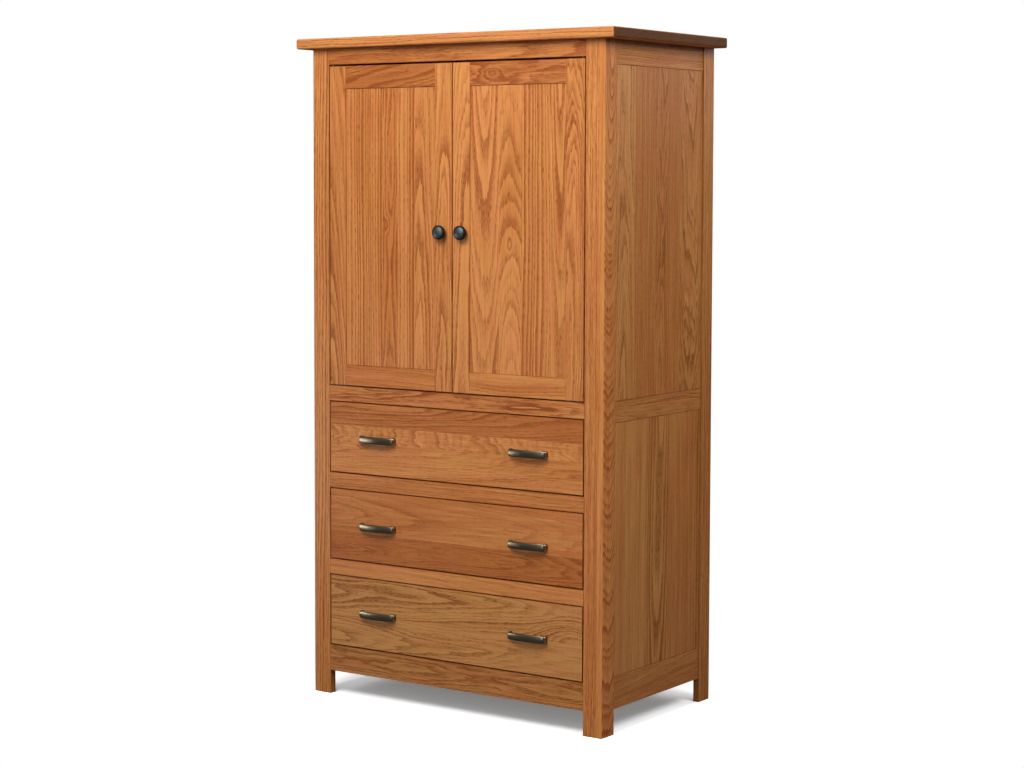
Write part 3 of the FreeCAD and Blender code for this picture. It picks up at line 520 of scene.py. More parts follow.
def plastic(name, colour, paler, roughness):
    """Moulded plastic: a plain colour, with the fine grain of the mould."""
    material, net, surface = new_material(name)
    spot = net.add("TexCoord").outputs["Object"]
    grain = net.noise(spot, MOULD_GRAIN, detail=1.0)
    net.feed(surface.inputs, {
        "Base Color": net.choose(grain, colour, paler, "RGBA"),
        "Roughness": net.scaled(grain, 0.2, roughness),
    })
    bumped(net, surface, grain, distance=MOULD_DEPTH)
    return material


black_plastic = plastic("black_plastic", (0.018, 0.018, 0.019, 1.0),
                        (0.0288, 0.0288, 0.0304, 1.0), 0.45)
dress("cable_grommet", black_plastic)

# ------------------------------------------------------------
# The inside.
# The cabinet's floor is notched round the posts, the shelf lies on four steel pins, and the
# cleats behind the front posts carry the slides.

DRAWERS = ("bottom", "middle", "top")
CLEAT_HALF = 0.030
METAL_CLOUDS, METAL_DEPTH, WORN_RANGE = (60.0, 60.0, 60.0), 0.00004, (0.35, 0.75)
SHELF_CUTS = (
    (0.3, dict(pith=(0.02, 0.05), tone=0.35)),
    (0.62, dict(pith=(-0.08, 0.09), tone=0.6)),
    (1.0, dict(pith=(0.0, 0.03), tone=0.4)),
)
for seed, name in ((61, "cabinet_floor"), (65, "adjustable_shelf")):
    boards = glued(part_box(name), SHELF_CUTS, seed, lean=(0.01, 0.03), contrast=0.8)
    dress_wood(name, "x", "z", *boards)


def metal(name, colour, worn, roughness, grain):
    """Bare or plated metal: its colour, cloudy with wear, and a brushed or cast grain."""
    material, net, surface = new_material(name)
    spot = net.add("TexCoord").outputs["Object"]
    cloud = net.noise(spot, METAL_CLOUDS, detail=3.0)
    fine = net.noise(spot, grain, detail=2.0)
    net.feed(surface.inputs, {
        "Base Color": net.choose(net.ease(cloud, *WORN_RANGE), colour, worn, "RGBA"),
        "Roughness": net.scaled(fine, 0.25, roughness),
        "Metallic": 1.0,
    })
    bumped(net, surface, fine, distance=METAL_DEPTH)
    return material


def centre(name):
    """The middle of a node's box."""
    low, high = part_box(name)
    return (low + high) / 2


zinc = metal("zinc_steel", (0.56, 0.57, 0.58, 1.0), (0.50, 0.51, 0.53, 1.0), 0.28,
             (900.0, 20.0, 900.0))
dress("shelf_pins", zinc)
slide_heights = {drawer: centre(f"{drawer}_slide_middle_members").z for drawer in DRAWERS}
cleats = [
    board(shown("slide_cleats", z=(middle - CLEAT_HALF, middle + CLEAT_HALF)), pith=(0.03, 0.05),
          seed=seed)
    for seed, middle in enumerate(slide_heights.values(), start=71)
]
dress_wood("slide_cleats", "y", "x", *cleats)

# ------------------------------------------------------------
# The top board.
# It is glued up from long boards, stands out at the front and both sides, and has eased edges.
# Its sawn ends drank far more stain than its faces.

TOP_DEEPER = (0.11, 0.10, 0.05)
TOP_CUTS = (
    (0.17, dict(pith=(0.01, -0.05), lean=(0.01, 0.03), tone=0.35)),
    (0.4, dict(pith=(-0.02, -0.04), lean=(0.0, 0.04), tone=0.55)),
    (0.66, dict(pith=(0.1, -0.08), lean=(0.01, 0.0), tone=0.3)),
    (1.0, dict(pith=(0.0, -0.06), lean=(0.01, -0.03), tone=0.5)),
)
boards = glued(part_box("top_board"), TOP_CUTS, seed=81, rings=4.5)
dress_wood("top_board", "x", "z", *boards, end=1.40, edge=0.6, deeper=TOP_DEEPER)

# ------------------------------------------------------------
# The slides.
# Each drawer runs on two ball-bearing slides of zinc-plated steel. A case member is screwed to
# the cleat, a drawer member to the box, and a middle member travels half as far between them.

dress("slide_case_members", zinc)
for drawer in DRAWERS:
    dress(f"{drawer}_slide_middle_members", zinc)
    dress(f"{drawer}_drawer_slide_members", zinc)

# ------------------------------------------------------------
# The drawer boxes.
# Each is a box of pale maple, 13 mm thick, round a thin plywood bottom. Four flared tails on each
# end of the sides reach through the front and the back, between the pins.

MAPLE = ((0.710, 0.480, 0.265, 1.0), (0.650, 0.400, 0.200, 1.0), (0.450, 0.230, 0.100, 1.0))
BOX_BOARD = 0.013
TAILS, TAIL_HALF, TAIL_FLARE = 4, 0.011, 0.002


def tailed(name):
    """A rule that turns the grain of a box's sides, tails included, to run front to back.

    A point is in a tail where its height, from the middle of its share of the box's height, is
    under the tail's half width, which grows by the flare towards the end of the board.
    """
    low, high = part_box(name)
    share = (high.z - low.z) / TAILS
    half_depth, middle = (high.y - low.y) / 2, (high.y + low.y) / 2

    def turned(net, position, normals, place, facing):
        aside = net.math("ABSOLUTE", net.less(position[1], middle))
        inward = net.less(half_depth, aside)
        flared = net.scaled(inward, -TAIL_FLARE / BOX_BOARD, TAIL_HALF + TAIL_FLARE)
        way = net.math("FRACT", net.math("DIVIDE", net.less(position[2], low.z), share))
        off = net.times(net.math("ABSOLUTE", net.less(way, 0.5)), share)
        tail = net.math("LESS_THAN", off, flared)
        clear = net.math("GREATER_THAN", inward, BOX_BOARD)
        outer = net.math("GREATER_THAN", net.math("ABSOLUTE", position[0]), high.x - BOX_BOARD)
        side = net.times(outer, net.math("MAXIMUM", clear, tail))
        height, depth, width = net.split(place)
        crossed = net.join(height, width, depth)
        return (net.choose(side, place, crossed, "VECTOR"),
                net.choose(side, facing, normals[1], "FLOAT"))

    return turned


for seed, drawer in enumerate(DRAWERS, start=91):
    name = f"{drawer}_drawer_box"
    ends = board(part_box(name), pith=(0.05, 0.06), lean=(0.01, 0.01), wave=0.8, contrast=0.35,
                 seed=seed)
    dress_wood(name, "x", "y", ends, pores=0.1, colours=MAPLE, turned=tailed(name))
    name = f"{drawer}_drawer_bottom"
    veneer = board(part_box(name), pith=(0.05, 0.2), lean=(0.02, 0.02), rings=8.0, wave=2.5,
                   contrast=0.5, seed=seed + 5)
    dress_wood(name, "y", "z", veneer, pores=0.2, colours=BIRCH)

# ------------------------------------------------------------
# The drawers' show fronts.
# Each is glued up from two or three boards, stands inset between the rails and has eased edges.

FRONT_CUTS = {
    "bottom": (
        (0.48, dict(pith=(0.0, 0.045), lean=(0.03, 0.04), rings=8.0, wave=2.2, tone=0.0,
                    contrast=0.55)),
        (1.0, dict(pith=(0.02, 0.04), lean=(0.02, 0.04), rings=8.0, wave=2.0, tone=0.0,
                   contrast=0.85, knot=(-0.03, 0.39, 0.044))),
    ),
    "middle": (
        (0.4, dict(pith=(0.01, 0.02), lean=(0.02, 0.04), rings=5.0, wave=2.4, tone=1.3,
                   depth=0.22, contrast=0.7)),
        (1.0, dict(pith=(0.0, 0.07), lean=(0.01, 0.06), rings=6.0, wave=1.6, tone=0.6,
                   depth=0.13, contrast=0.35)),
    ),
    "top": (
        (0.44, dict(pith=(0.06, 0.06), lean=(0.01, 0.05), rings=6.0, wave=1.8, tone=0.4,
                    depth=0.04, contrast=0.45)),
        (0.68, dict(pith=(0.01, 0.11), lean=(0.0, -0.16), rings=5.5, wave=1.4, tone=0.3,
                    depth=0.07, contrast=0.5, curl=0.8)),
        (1.0, dict(pith=(0.05, 0.04), lean=(0.02, 0.03), rings=7.0, wave=1.5, tone=1.0,
                   depth=0.24, contrast=0.8)),
    ),
}
for number, (drawer, cuts) in enumerate(FRONT_CUTS.items()):
    name = f"{drawer}_drawer_front"
    boards = glued(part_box(name), cuts, seed=101 + 3 * number)
    # The bottom drawer's front takes the darker, cooler copy: painted shade low on the front.
    colours = SHADED_OAK if drawer == "bottom" else OAK
    dress_wood(name, "x", "y", *boards, colours=colours)

# ------------------------------------------------------------
# The doors' frames and panels.
# Each door is two stiles and two rails, joined with stub tenons, round a panel that is glued up
# from four boards and lies with its tongue in their grooves, its face nearly flush with theirs.

STILE_CUTS = {
    "left_door_hinge_stile": dict(pith=(-0.028, 0.045), lean=(0.0, 0.055), rings=8.0, tone=0.4,
                                  depth=0.1, contrast=0.85),
    "left_door_meeting_stile": dict(pith=(0.0, 0.03), lean=(0.03, 0.04), rings=8.0, wave=1.8,
                                    contrast=0.8, tone=0.3),
    "right_door_meeting_stile": dict(pith=(0.02, 0.03), lean=(0.04, 0.03), rings=8.0, wave=1.2,
                                     contrast=0.8, tone=0.1),
    "right_door_hinge_stile": dict(pith=(-0.022, 0.05), lean=(0.04, 0.07), rings=5.5, wave=2.0,
                                   contrast=0.9, tone=0.5, depth=0.08),
}
RAIL_FIGURES = {
    "left_door_top_rail": dict(pith=(0.0, 0.03), lean=(0.22, 0.02), rings=7.0, tone=0.8,
                               depth=0.34),
    "left_door_bottom_rail": dict(pith=(0.08, 0.09), contrast=0.4, tone=0.75, depth=0.05),
    "right_door_top_rail": dict(pith=(0.01, 0.02), lean=(0.05, 0.03), rings=7.0, wave=2.5,
                                tone=0.7, depth=0.24, knot=(0.0, -0.083, 0.014)),
    "right_door_bottom_rail": dict(pith=(-0.08, 0.09), contrast=0.4, tone=0.35),
}
PANEL_CUTS = {
    "left": (
        (0.42, dict(pith=(-0.3, 0.06), rings=9.0, wave=0.35, tone=0.4)),
        (0.58, dict(pith=(0.005, 0.02), lean=(0.01, 0.01), rings=7.0, wave=1.2, tone=0.75,
                    knot=(-0.01, 0.01, 0.01))),
        (0.78, dict(pith=(0.25, 0.06), rings=10.0, wave=0.5, tone=0.45)),
        (1.0, dict(pith=(-0.02, 0.05), lean=(0.0, 0.03), rings=8.0, wave=1.3, tone=0.4)),
    ),
    "right": (
        (0.31, dict(pith=(0.0, 0.05), lean=(0.0, -0.05), rings=8.0, wave=0.7, tone=0.25,
                    contrast=0.85)),
        (0.54, dict(pith=(0.004, 0.062), lean=(0.0, 0.08), rings=5.5, wave=0.7, tone=0.25,
                    contrast=0.6, knot=(-0.002, -0.04, 0.009))),
        (0.84, dict(pith=(-0.28, 0.06), rings=10.0, wave=0.9, tone=0.4)),
        (1.0, dict(pith=(0.005, 0.02), lean=(0.0, -0.02), rings=8.0, wave=0.8, tone=0.25)),
    ),
}
for seed, (name, cut) in enumerate(STILE_CUTS.items(), start=111):
    dress_wood(name, "z", "y", board(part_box(name), seed=seed, **cut), edge=0.5)
for number, side in enumerate(SIDES):
    stiles = [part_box(f"{side}_door_{part}_stile") for part in ("hinge", "meeting")]
    (_, left_edge), (right_edge, _) = sorted(stiles, key=lambda corners: corners[0].x)
    opening = (left_edge.x, right_edge.x)
    heights = (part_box(f"{side}_door_bottom_rail")[1].z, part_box(f"{side}_door_top_rail")[0].z)
    for seed, part in enumerate(("top_rail", "bottom_rail"), start=121 + 2 * number):
        name = f"{side}_door_{part}"
        figure = board(shown(name, x=opening), seed=seed, **RAIL_FIGURES[name])
        dress_wood(name, "x", "y", figure, edge=0.5)
    name = f"{side}_door_panel"
    boards = glued(shown(name, x=opening, z=heights), PANEL_CUTS[side], seed=131 + 4 * number)
    dress_wood(name, "z", "y", *boards, edge=0.5)

# ------------------------------------------------------------
# The hinges, the catches and their strikes.
# Each door turns on two knife hinges of darkened brass, whose leaves are screwed into the rails
# and into the ends of the stiles. A magnetic catch behind the top rail holds a steel strike.

hinge_brass = metal("hinge_brass", (0.150, 0.105, 0.055, 1.0), (0.260, 0.185, 0.095, 1.0), 0.34,
                    (700.0, 60.0, 700.0))
dress("hinge_case_leaves", hinge_brass)
dress("door_catches", black_plastic)
for side in SIDES:
    dress(f"{side}_door_hinge_leaves", hinge_brass)
    dress(f"{side}_door_strike", zinc)

# ------------------------------------------------------------
# The knobs.
# Each is cast pewter, turned to a rose, a waisted stem, a flared neck and a thick round head
# with a low dome, then blackened and rubbed on the dome. The rim is kept nearly black: patina,
# and painted shade round the head's edge. One screw holds it from inside.

SMOOTH_TO = radians(38)
ROSE_RADIUS, ROSE_REACH = 0.0100, 0.0030
STEM_RADIUS, STEM_REACH = 0.0063, 0.0052
NECK_RADIUS, NECK_REACH = 0.0190, 0.0110
RIM_REACH = 0.0184
DOME_RADIUS, DOME_REACH, KNOB_REACH = 0.0168, 0.0186, 0.0236
KNOB_SIDES = 72

# The rose's outline in shares of its size, how high up the stem leaves it, how the stem flares,
# and how far the rim's rounding and its groove lie inside and behind the rim.
ROSE_OUTLINE, ROSE_TOP = ((1.0, 0.0), (1.0, 0.7), (0.92, 1.0), (0.72, 1.1)), 1.6
FLARE_POWER = 2.2
RIM_ROUND = ((0.0, 0.0012), (0.0004, 0.0003), (0.0011, 0.0))
GROOVE_WIDTH, GROOVE_DEPTH = 0.0004, 0.0002

# The casting's colour and grain, and how rubbed each face is, from blackened to bright.
BLACKENED = (0.022, 0.021, 0.020, 1.0)
CASTING_CLOUDS, CASTING_GRAIN = (160.0, 160.0, 160.0), (1400.0, 1400.0, 1400.0)
CASTING_DEPTH, CASTING_ROUGHNESS = 0.00003, 0.14
CLOUDED_WEAR, GREY_RANGE, BRIGHT_RANGE = 0.35, (0.10, 0.42), (0.62, 1.0)
# The rim's near-black wear is patina and painted shade round the head's edge.
BLACK, RIM_PATINA_AND_SHADE, FACE_WEAR, DOME_WEAR = 0.0, (0.10, 0.12), 0.14, 0.55
front_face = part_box("front_left_post")[0].y


def placed(name, data):
    """A new object in the scene."""
    made = bpy.data.objects.new(name, data)
    bpy.context.scene.collection.objects.link(made)
    return made


def shells(name, rings, material, wear=None):
    """Closed pieces in one mesh, each a skin over rings of points with a pole at either end.

    rings holds the points of (piece, ring, place round the ring). The skin joins each point to
    the next one round its ring and to the same two on the next ring, and a pole in the middle
    of the first ring and of the last one closes it. wear has a number for each ring point.
    """
    pieces, count, sides, _ = rings.shape
    poles = rings[:, [0, -1]].mean(axis=2)
    points = np.concatenate([rings.reshape(pieces, -1, 3), poles], axis=1)
    here = np.arange(sides)
    after = np.roll(here, -1)
    line = sides * np.arange(count - 1)[:, None]
    skin = np.stack([line + here, line + after, line + sides + after, line + sides + here], axis=-1)
    last = sides * (count - 1)
    pole = np.full(sides, count * sides)
    ends = np.concatenate([np.stack([after, here, pole], axis=-1),
                           np.stack([last + here, last + after, pole + 1], axis=-1)])
    shift = points.shape[1] * np.arange(pieces)[:, None, None]
    quads = (skin.reshape(-1, 4) + shift).reshape(-1, 4)
    corners = (ends + shift).reshape(-1, 3)
    mesh = bpy.data.meshes.new(name)
    mesh.from_pydata(points.reshape(-1, 3).tolist(), [], quads.tolist() + corners.tolist())
    mesh.shade_smooth()
    mesh.set_sharp_from_angle(angle=SMOOTH_TO)
    if wear is not None:
        wear = wear.reshape(pieces, count, sides)
        tips = wear[:, [0, -1]].mean(axis=2)
        values = np.concatenate([wear.reshape(pieces, -1), tips], axis=1)
        mesh.attributes.new("wear", "FLOAT", "POINT").data.foreach_set("value", values.ravel())
    mesh.materials.append(material)
    return placed(name, mesh)


def pewter_cast(name, grey, rubbed, roughness):
    """Blackened pewter: black in the recesses, grey on the faces and bright where it is rubbed."""
    material, net, surface = new_material(name)
    spot = net.add("TexCoord").outputs["Object"]
    wear = net.add("Attribute", attribute_name="wear").outputs["Fac"]
    cloud = net.swing(spot, CASTING_CLOUDS, detail=3.0)
    fine = net.noise(spot, CASTING_GRAIN, detail=2.0)
    uneven = net.scaled(cloud, CLOUDED_WEAR, wear)
    faces = net.choose(net.ease(uneven, *GREY_RANGE), BLACKENED, grey, "RGBA")
    net.feed(surface.inputs, {
        "Base Color": net.choose(net.ease(uneven, *BRIGHT_RANGE), faces, rubbed, "RGBA"),
        "Roughness": net.scaled(fine, CASTING_ROUGHNESS, roughness),
        "Metallic": 1.0,
    })
    bumped(net, surface, fine, distance=CASTING_DEPTH)
    return material


def knob_profile():
    """The knob's outline as (radius, reach), from the door to the dome's middle, and its wear.

    The rose is a low disc, the stem flares to the neck with a power of the way along it, and
    the dome is part of a ball whose radius comes from its chord and its rise. The rim's near
    black wear is patina and painted shade round the head.
    """
    way = np.linspace(0.0, 1.0, 9)
    neck = np.stack([STEM_RADIUS + (NECK_RADIUS - STEM_RADIUS) * way ** FLARE_POWER,
                     STEM_REACH + (NECK_REACH - STEM_REACH) * way], axis=1)
    rise = KNOB_REACH - DOME_REACH
    ball = (DOME_RADIUS ** 2 + rise ** 2) / (2 * rise)
    across = DOME_RADIUS * np.linspace(1.0, 0.03, 14)
    dome = np.stack([across, KNOB_REACH - ball + np.sqrt(ball ** 2 - across ** 2)], axis=1)
    rose = [(out * ROSE_RADIUS, up * ROSE_REACH) for out, up in ROSE_OUTLINE]
    rose.append((STEM_RADIUS, ROSE_TOP * ROSE_REACH))
    rim = [(NECK_RADIUS - inward, RIM_REACH - back) for inward, back in RIM_ROUND]
    groove = [(DOME_RADIUS + GROOVE_WIDTH, RIM_REACH - GROOVE_DEPTH)]
    outline = np.concatenate([rose, neck, rim, groove, dome])
    wear = np.concatenate([np.full(len(rose) + len(neck), FACE_WEAR), RIM_PATINA_AND_SHADE, [BLACK, BLACK],
                           np.linspace(FACE_WEAR, DOME_WEAR, 5), np.full(9, DOME_WEAR)])
    return outline, wear


def revolved(outline, middle):
    """Rings of an outline of (radius, reach) turned about an axis that points to the front."""
    turn = 2 * np.pi * np.arange(KNOB_SIDES) / KNOB_SIDES
    radius, reach = outline[:, :1], outline[:, 1:]
    x = middle[0] + radius * np.cos(turn)
    y = middle[1] - reach + 0 * turn
    z = middle[2] + radius * np.sin(turn)
    return np.stack([x, y, z], axis=-1)[None]


knob_pewter = pewter_cast("knob_pewter", (0.082, 0.102, 0.104, 1.0),
                          (0.280, 0.310, 0.315, 1.0), 0.42)
outline, wear = knob_profile()
for side in SIDES:
    middle = centre(f"{side}_door_knob")
    rings = revolved(outline, (middle.x, front_face, middle.z))
    knob = shells(f"{side}_turned_knob", rings, knob_pewter, np.repeat(wear, KNOB_SIDES))
    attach(knob, f"{side}_door")
    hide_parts(f"{side}_door_knob")

# ------------------------------------------------------------
# The pulls.
# Each is cast like the knobs: a strap bent to a shallow arc, crowned on its outer face, which
# turns into a square foot at each end. Two screws hold it from inside the drawer.

PULL_HALF, PULL_REACH, PULL_END_REACH = 0.0600, 0.0220, 0.0140
PULL_BOW = PULL_REACH - PULL_END_REACH
PULL_RADIUS = (PULL_HALF ** 2 + PULL_BOW ** 2) / (2 * PULL_BOW)
PULL_STRAP, PULL_FOOT, PULL_HALF_HEIGHT = 0.0050, 0.0090, 0.0100
PULL_CROWN, PULL_SOFT_END, PULL_SQUARENESS = 0.0014, 0.0055, 5.0
FOOT_BLEND, PULL_SIDES = 0.0040, 28
TIP_SINK, TIP_NARROWING = 0.8, 0.5
STRAP_WEAR, CORNER_WEAR, TIP_WEAR = 0.44, 0.22, 0.30
CORNER_SHARPNESS, BLACK_BEHIND = 2.6, -0.2


def pull_rings(middle):
    """Rings of one pull along its length, each a squarish loop from back to face, and their wear.

    The face is an arc of the pull's radius, the back is the same arc one strap further in, and
    both drop to the drawer at the feet. The loop is a superellipse between back and face, less
    a crown that grows with the square of the height. The last millimetres are rounded: the face
    sinks as a quarter circle does. Rings stand closer together where the feet and ends turn.
    """
    foot = PULL_HALF - PULL_FOOT
    soft = PULL_HALF - PULL_SOFT_END
    along = np.concatenate([
        np.linspace(0.0, foot - FOOT_BLEND, 12),
        foot - FOOT_BLEND + FOOT_BLEND * np.sin(np.linspace(0.25, 1.0, 5) * np.pi / 2),
        np.linspace(foot + 0.0002, soft, 3),
        soft + PULL_SOFT_END * np.sin(np.linspace(0.17, 1.0, 6) * np.pi / 2),
    ])
    along = np.concatenate([-along[:0:-1], along])[:, None]
    way = np.abs(along)
    face = PULL_REACH - PULL_RADIUS + np.sqrt(PULL_RADIUS ** 2 - along ** 2)
    inner = PULL_RADIUS - PULL_STRAP
    back = PULL_REACH - PULL_RADIUS + np.sqrt(inner ** 2 - along ** 2)
    turn_in = np.clip((way - foot + FOOT_BLEND) / FOOT_BLEND, 0.0, 1.0)
    back = back - FOOT_BLEND * (1.0 - np.sqrt(1.0 - turn_in ** 2))
    back = np.where(way > foot, 0.0, back)
    tip = np.clip((way - soft) / PULL_SOFT_END, 0.0, 1.0)
    sink = 1.0 - np.sqrt(1.0 - tip ** 2)
    face = face - TIP_SINK * PULL_SOFT_END * sink
    tall = PULL_HALF_HEIGHT - TIP_NARROWING * PULL_SOFT_END * sink
    turn = 2 * np.pi * np.arange(PULL_SIDES) / PULL_SIDES
    power = 2.0 / PULL_SQUARENESS
    out = np.sign(np.cos(turn)) * np.abs(np.cos(turn)) ** power
    up = np.sign(np.sin(turn)) * np.abs(np.sin(turn)) ** power
    reach = (face + back) / 2 + (face - back) / 2 * out
    reach = reach - PULL_CROWN * up ** 2 * (out > 0)
    x = middle[0] + along + 0 * turn
    y = middle[1] - reach
    z = middle[2] - tall * up
    corner = np.clip(1.0 - CORNER_SHARPNESS * np.abs(np.abs(out) - np.abs(up)), 0.0, 1.0)
    corner = corner * (out > 0)
    wear = STRAP_WEAR + CORNER_WEAR * corner + TIP_WEAR * tip
    wear = np.where(out > BLACK_BEHIND, wear, BLACK)
    return np.stack([x, y, z], axis=-1), wear


pull_pewter = pewter_cast("pull_pewter", (0.170, 0.140, 0.095, 1.0),
                          (0.640, 0.600, 0.520, 1.0), 0.24)
for drawer in DRAWERS:
    low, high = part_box(f"{drawer}_drawer_pulls")
    height = centre(f"{drawer}_drawer_pulls").z
    pair = [pull_rings((x, front_face, height)) for x in (low.x + PULL_HALF, high.x - PULL_HALF)]
    rings, wear = zip(*pair)
    pulls = shells(f"{drawer}_bowed_pulls", np.stack(rings), pull_pewter, np.stack(wear))
    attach(pulls, f"{drawer}_drawer")
    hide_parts(f"{drawer}_drawer_pulls")

# ------------------------------------------------------------
# The screws.
# Pan heads of zinc-plated steel hold the back, the slides, the strikes, the drawers' show fronts,
# the knobs and the pulls. The hinges have small brass screws, nearly flush.

SCREW_SIDES = 12
BACKWARDS = (0, 1, 0)
HEAD_OUTLINE = np.array([(1.00, -0.30), (1.00, 0.35), (0.84, 0.90), (0.52, 1.00), (0.20, 0.40)])
CROSSED_RING, CROSS_HEIGHT = 3, 0.40
spins = np.random.default_rng(7)

# Each kind's head: its radius and how far it stands out.
BACK_SCREW, SMALL_SCREW = (0.0035, 0.00025), (0.0030, 0.0002)
CASE_SCREW, RUNNER_SCREW, FRONT_SCREW = (0.0038, 0.0006), (0.0042, 0.0018), (0.0046, 0.0016)


def screws(name, places, outward, size, body, material=zinc):
    """Pan heads with a cross recess, on a face that looks along one axis.

    A head is five rings, whose radii and heights are shares of its own. On the fourth ring the
    points on the cross's four arms lie as low as the recess. Each head is spun at random.
    """
    radius, rise = size
    normal = np.array(outward, dtype=float)
    right = np.roll(np.abs(normal), 1)
    up = np.cross(normal, right)
    start = spins.uniform(0.0, 2 * np.pi, len(places))
    turn = start[:, None] + 2 * np.pi * np.arange(SCREW_SIDES) / SCREW_SIDES
    spoke = np.cos(turn)[..., None] * right + np.sin(turn)[..., None] * up
    height = np.repeat(HEAD_OUTLINE[:, 1:], SCREW_SIDES, axis=1)
    height[CROSSED_RING, ::SCREW_SIDES // 4] = CROSS_HEIGHT
    rings = radius * HEAD_OUTLINE[None, :, :1, None] * spoke[:, None]
    rings = rings + rise * height[None, :, :, None] * normal
    heads = shells(name, np.array(places)[:, None, None, :] + rings, material)
    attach(heads, body)


def row(*spans):
    """Every place whose x, y and z are taken from three lists."""
    return np.stack(np.meshgrid(*spans, indexing="ij"), axis=-1).reshape(-1, 3)


# A row of screws is where it starts and ends, and how many it has.
BACK_SCREW_ACROSS, BACK_SCREWS_UP, BACK_SCREWS_ALONG = 0.427, (0.12, 1.75, 10), (-0.34, 0.34, 5)
back_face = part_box("back_panel")[1].y
back_rail_middles = [sum(heights) / 2 for heights in BACK_RAIL_HEIGHTS]
around = np.concatenate([
    row([-BACK_SCREW_ACROSS, BACK_SCREW_ACROSS], [back_face], np.linspace(*BACK_SCREWS_UP)),
    row(np.linspace(*BACK_SCREWS_ALONG), [back_face], back_rail_middles),
])
screws("back_panel_screws", around, BACKWARDS, BACK_SCREW, "carcass")

SLIDE_WEB, RUNNER_WEB = 0.4208, 0.4105
FRONT_END, BACK_END, SLIDE_SCREWS = 0.030, 0.020, 4
slide_low, slide_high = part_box("slide_case_members")
along_slide = np.linspace(slide_low.y + FRONT_END, slide_high.y - BACK_END, SLIDE_SCREWS)
for side, sign in zip(SIDES, (-1, 1)):
    places = row([sign * SLIDE_WEB], along_slide, list(slide_heights.values()))
    screws(f"{side}_slide_case_screws", places, (-sign, 0, 0), CASE_SCREW, "carcass")
    for drawer, height in slide_heights.items():
        places = row([sign * RUNNER_WEB], along_slide, [height])
        screws(f"{drawer}_{side}_runner_screws", places, (sign, 0, 0), RUNNER_SCREW,
               f"{drawer}_drawer")

PULL_SCREW_OFF, FRONT_SCREW_RISE = 0.048, 0.048
FRONT_SCREWS_ALONG = (-0.36, -0.12, 0.12, 0.36)
for drawer in DRAWERS:
    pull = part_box(f"{drawer}_drawer_pulls")[1].x - PULL_HALF
    height = centre(f"{drawer}_drawer_pulls").z
    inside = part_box(f"{drawer}_drawer_box")[0].y + BOX_BOARD
    across = [sign * pull + off for sign in (-1, 1) for off in (-PULL_SCREW_OFF, PULL_SCREW_OFF)]
    heights = (height - FRONT_SCREW_RISE, height + FRONT_SCREW_RISE)
    places = [row(across, [inside], [height]), row(FRONT_SCREWS_ALONG, [inside], heights)]
    screws(f"{drawer}_front_screws", np.concatenate(places), BACKWARDS, FRONT_SCREW,
           f"{drawer}_drawer")

LEAF_SCREWS = (0.018, 0.038)
LEAF_THICKNESS, LEAF_HALF_WIDTH = 0.0025, 0.0055
case_low, case_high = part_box("hinge_case_leaves")
for side, sign in zip(SIDES, (-1, 1)):
    low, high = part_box(f"{side}_door_hinge_leaves")
    across = [sign * (case_high.x - LEAF_HALF_WIDTH - off) for off in LEAF_SCREWS]
    inward = centre(f"{side}_door_hinge_leaves").y
    leaves = (
        ("lower_case", "carcass", case_low.z + LEAF_THICKNESS, 1),
        ("upper_case", "carcass", case_high.z - LEAF_THICKNESS, -1),
        ("lower_door", f"{side}_door", low.z, -1),
        ("upper_door", f"{side}_door", high.z, 1),
    )
    for leaf, body, height, facing in leaves:
        screws(f"{side}_{leaf}_hinge_screws", row(across, [inward], [height]), (0, 0, facing),
               SMALL_SCREW, body, hinge_brass)
    for fitting, backing, size in (
        ("strike", "strike", SMALL_SCREW), ("knob", "meeting_stile", FRONT_SCREW),
    ):
        middle, back = centre(f"{side}_door_{fitting}"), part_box(f"{side}_door_{backing}")[1].y
        screws(f"{side}_{fitting}_screw", [(middle.x, back, middle.z)], BACKWARDS, size,
               f"{side}_door")

# ------------------------------------------------------------
# The floor, the lights and the camera.
# A white studio. The floor shows only the soft shadow that the armoire stands in. Large lamps
# shine from high in front, on the right, behind and on the left. A low one at the front left only
# makes the highlight at the pulls' ends, and a tall strip in front makes the one on the knobs.

EYE = (3.5306, -5.0923, 1.4483)
TURN, DIP, ROLL = radians(34.66), radians(3.8975), radians(0.1537)
FRAME_WIDTH, FRAME_HEIGHT = 1024, 768
FOCAL_PIXELS = 2239.6
AXIS_HEIGHT_PIXELS = 330.0
SENSOR = 36.0
FLOOR_REACH = 40.0
FLOOR_ALBEDO = 0.12
SHADOW_REACH = 0.20
SHADOW_GAIN, SHADOW_LIFT = 1.6, 0.18
ROOM_LIGHT = 0.25


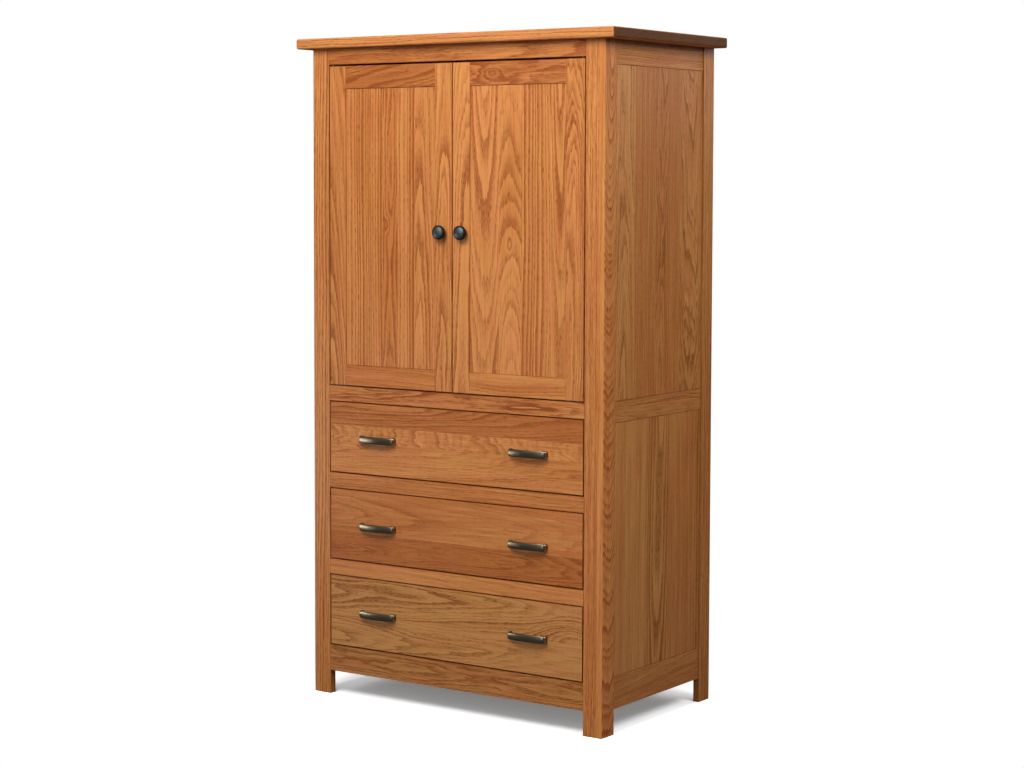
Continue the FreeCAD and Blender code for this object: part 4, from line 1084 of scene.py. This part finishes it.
def studio_floor():
    """A pale floor that reads as white beyond the shadow that the armoire stands in.

    For the camera its colour is the light that falls on it times a gain, plus a lift, and with
    its distance from the armoire that passes into plain white. Other rays meet a grey floor.
    """
    material, net, _ = new_material("studio_floor")
    spot = net.add("TexCoord").outputs["Object"]
    inside = (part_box("front_right_post")[1].x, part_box("back_right_post")[1].y, 1.0)
    outside = net.vector("SUBTRACT", net.vector("ABSOLUTE", spot), inside)
    outside = net.vector("MAXIMUM", outside, (0.0, 0.0, 0.0))
    distance = net.add("VectorMath", {0: outside}, operation="LENGTH").outputs["Value"]
    away = net.ease(distance, 0.0, SHADOW_REACH)
    plain = net.add("BsdfDiffuse", {"Color": (FLOOR_ALBEDO,) * 3 + (1.0,)}).outputs[0]
    lit = net.add("BsdfDiffuse", {"Color": (SHADOW_GAIN,) * 3 + (1.0,)}).outputs[0]
    lift = net.add("Emission", {"Strength": SHADOW_LIFT}).outputs[0]
    shaded = net.add("AddShader", {0: lit, 1: lift}).outputs[0]
    white = net.add("Emission", {"Strength": 1.0}).outputs[0]
    seen = net.add("MixShader", {0: away, 1: shaded, 2: white}).outputs[0]
    camera_ray = net.add("LightPath").outputs["Is Camera Ray"]
    both = net.add("MixShader", {0: camera_ray, 1: plain, 2: seen}).outputs[0]
    net.feed(net.tree.nodes["Material Output"].inputs, {"Surface": both})
    return material


mesh = bpy.data.meshes.new("studio_floor")
corners = [(-FLOOR_REACH, -FLOOR_REACH, 0.0), (FLOOR_REACH, -FLOOR_REACH, 0.0),
           (FLOOR_REACH, FLOOR_REACH, 0.0), (-FLOOR_REACH, FLOOR_REACH, 0.0)]
mesh.from_pydata(corners, [], [(0, 1, 2, 3)])
mesh.materials.append(studio_floor())
floor = placed("studio_floor", mesh)

world = bpy.data.worlds.new("studio")
world.use_nodes = True
bpy.context.scene.world = world
net = Wiring(world.node_tree)
camera_ray = net.add("LightPath").outputs["Is Camera Ray"]
net.feed(world.node_tree.nodes["Background"].inputs, {
    "Color": (1.0, 1.0, 1.0, 1.0),
    "Strength": net.scaled(camera_ray, 1.0 - ROOM_LIGHT, ROOM_LIGHT),
})


def lamp(name, place, target, width, height, power):
    """A large soft lamp that shines from a place at a target."""
    light = bpy.data.lights.new(name, "AREA")
    light.shape = "RECTANGLE"
    light.size = width
    light.size_y = height
    light.energy = power
    made = placed(name, light)
    made.location = place
    made.rotation_euler = (Vector(target) - Vector(place)).to_track_quat("-Z", "Y").to_euler()
    made.visible_camera = False
    return made


lamp("key_lamp", (0.05, -2.45, 3.2), (0.0, 0.0, 1.45), 1.6, 1.6, 77.0)
lamp("right_lamp", (2.6, -0.6, 2.9), (0.48, 0.0, 1.2), 1.4, 1.4, 50.0)
strip = lamp("left_strip_lamp", (-2.15, -1.25, 0.42), (0.0, -0.3, 0.45), 1.1, 0.50, 13.0)
strip.visible_diffuse = False
lamp("back_lamp", (1.2, 3.2, 2.6), (0.0, 0.0, 1.0), 1.6, 1.6, 22.0)
lamp("left_side_lamp", (-3.0, 1.3, 2.2), (0.0, 0.0, 1.0), 1.6, 1.6, 24.0)
lamp("front_strip_lamp", (0.35, -3.8, 1.45), (0.0, -0.3, 1.25), 0.3, 2.8, 21.0)

view = Matrix.Rotation(TURN, 3, "Z") @ Matrix.Rotation(radians(90) - DIP, 3, "X")
view = view @ Matrix.Rotation(ROLL, 3, "Z")
lens = bpy.data.cameras.new("camera")
lens.sensor_width = SENSOR
lens.lens = SENSOR * FOCAL_PIXELS / FRAME_WIDTH
lens.shift_y = (AXIS_HEIGHT_PIXELS - FRAME_HEIGHT / 2) / FRAME_WIDTH
camera = placed("camera", lens)
camera.matrix_world = Matrix.LocRotScale(Vector(EYE), view.to_quaternion(), None)
bpy.context.scene.camera = camera
bpy.context.scene.view_settings.view_transform = "Standard"
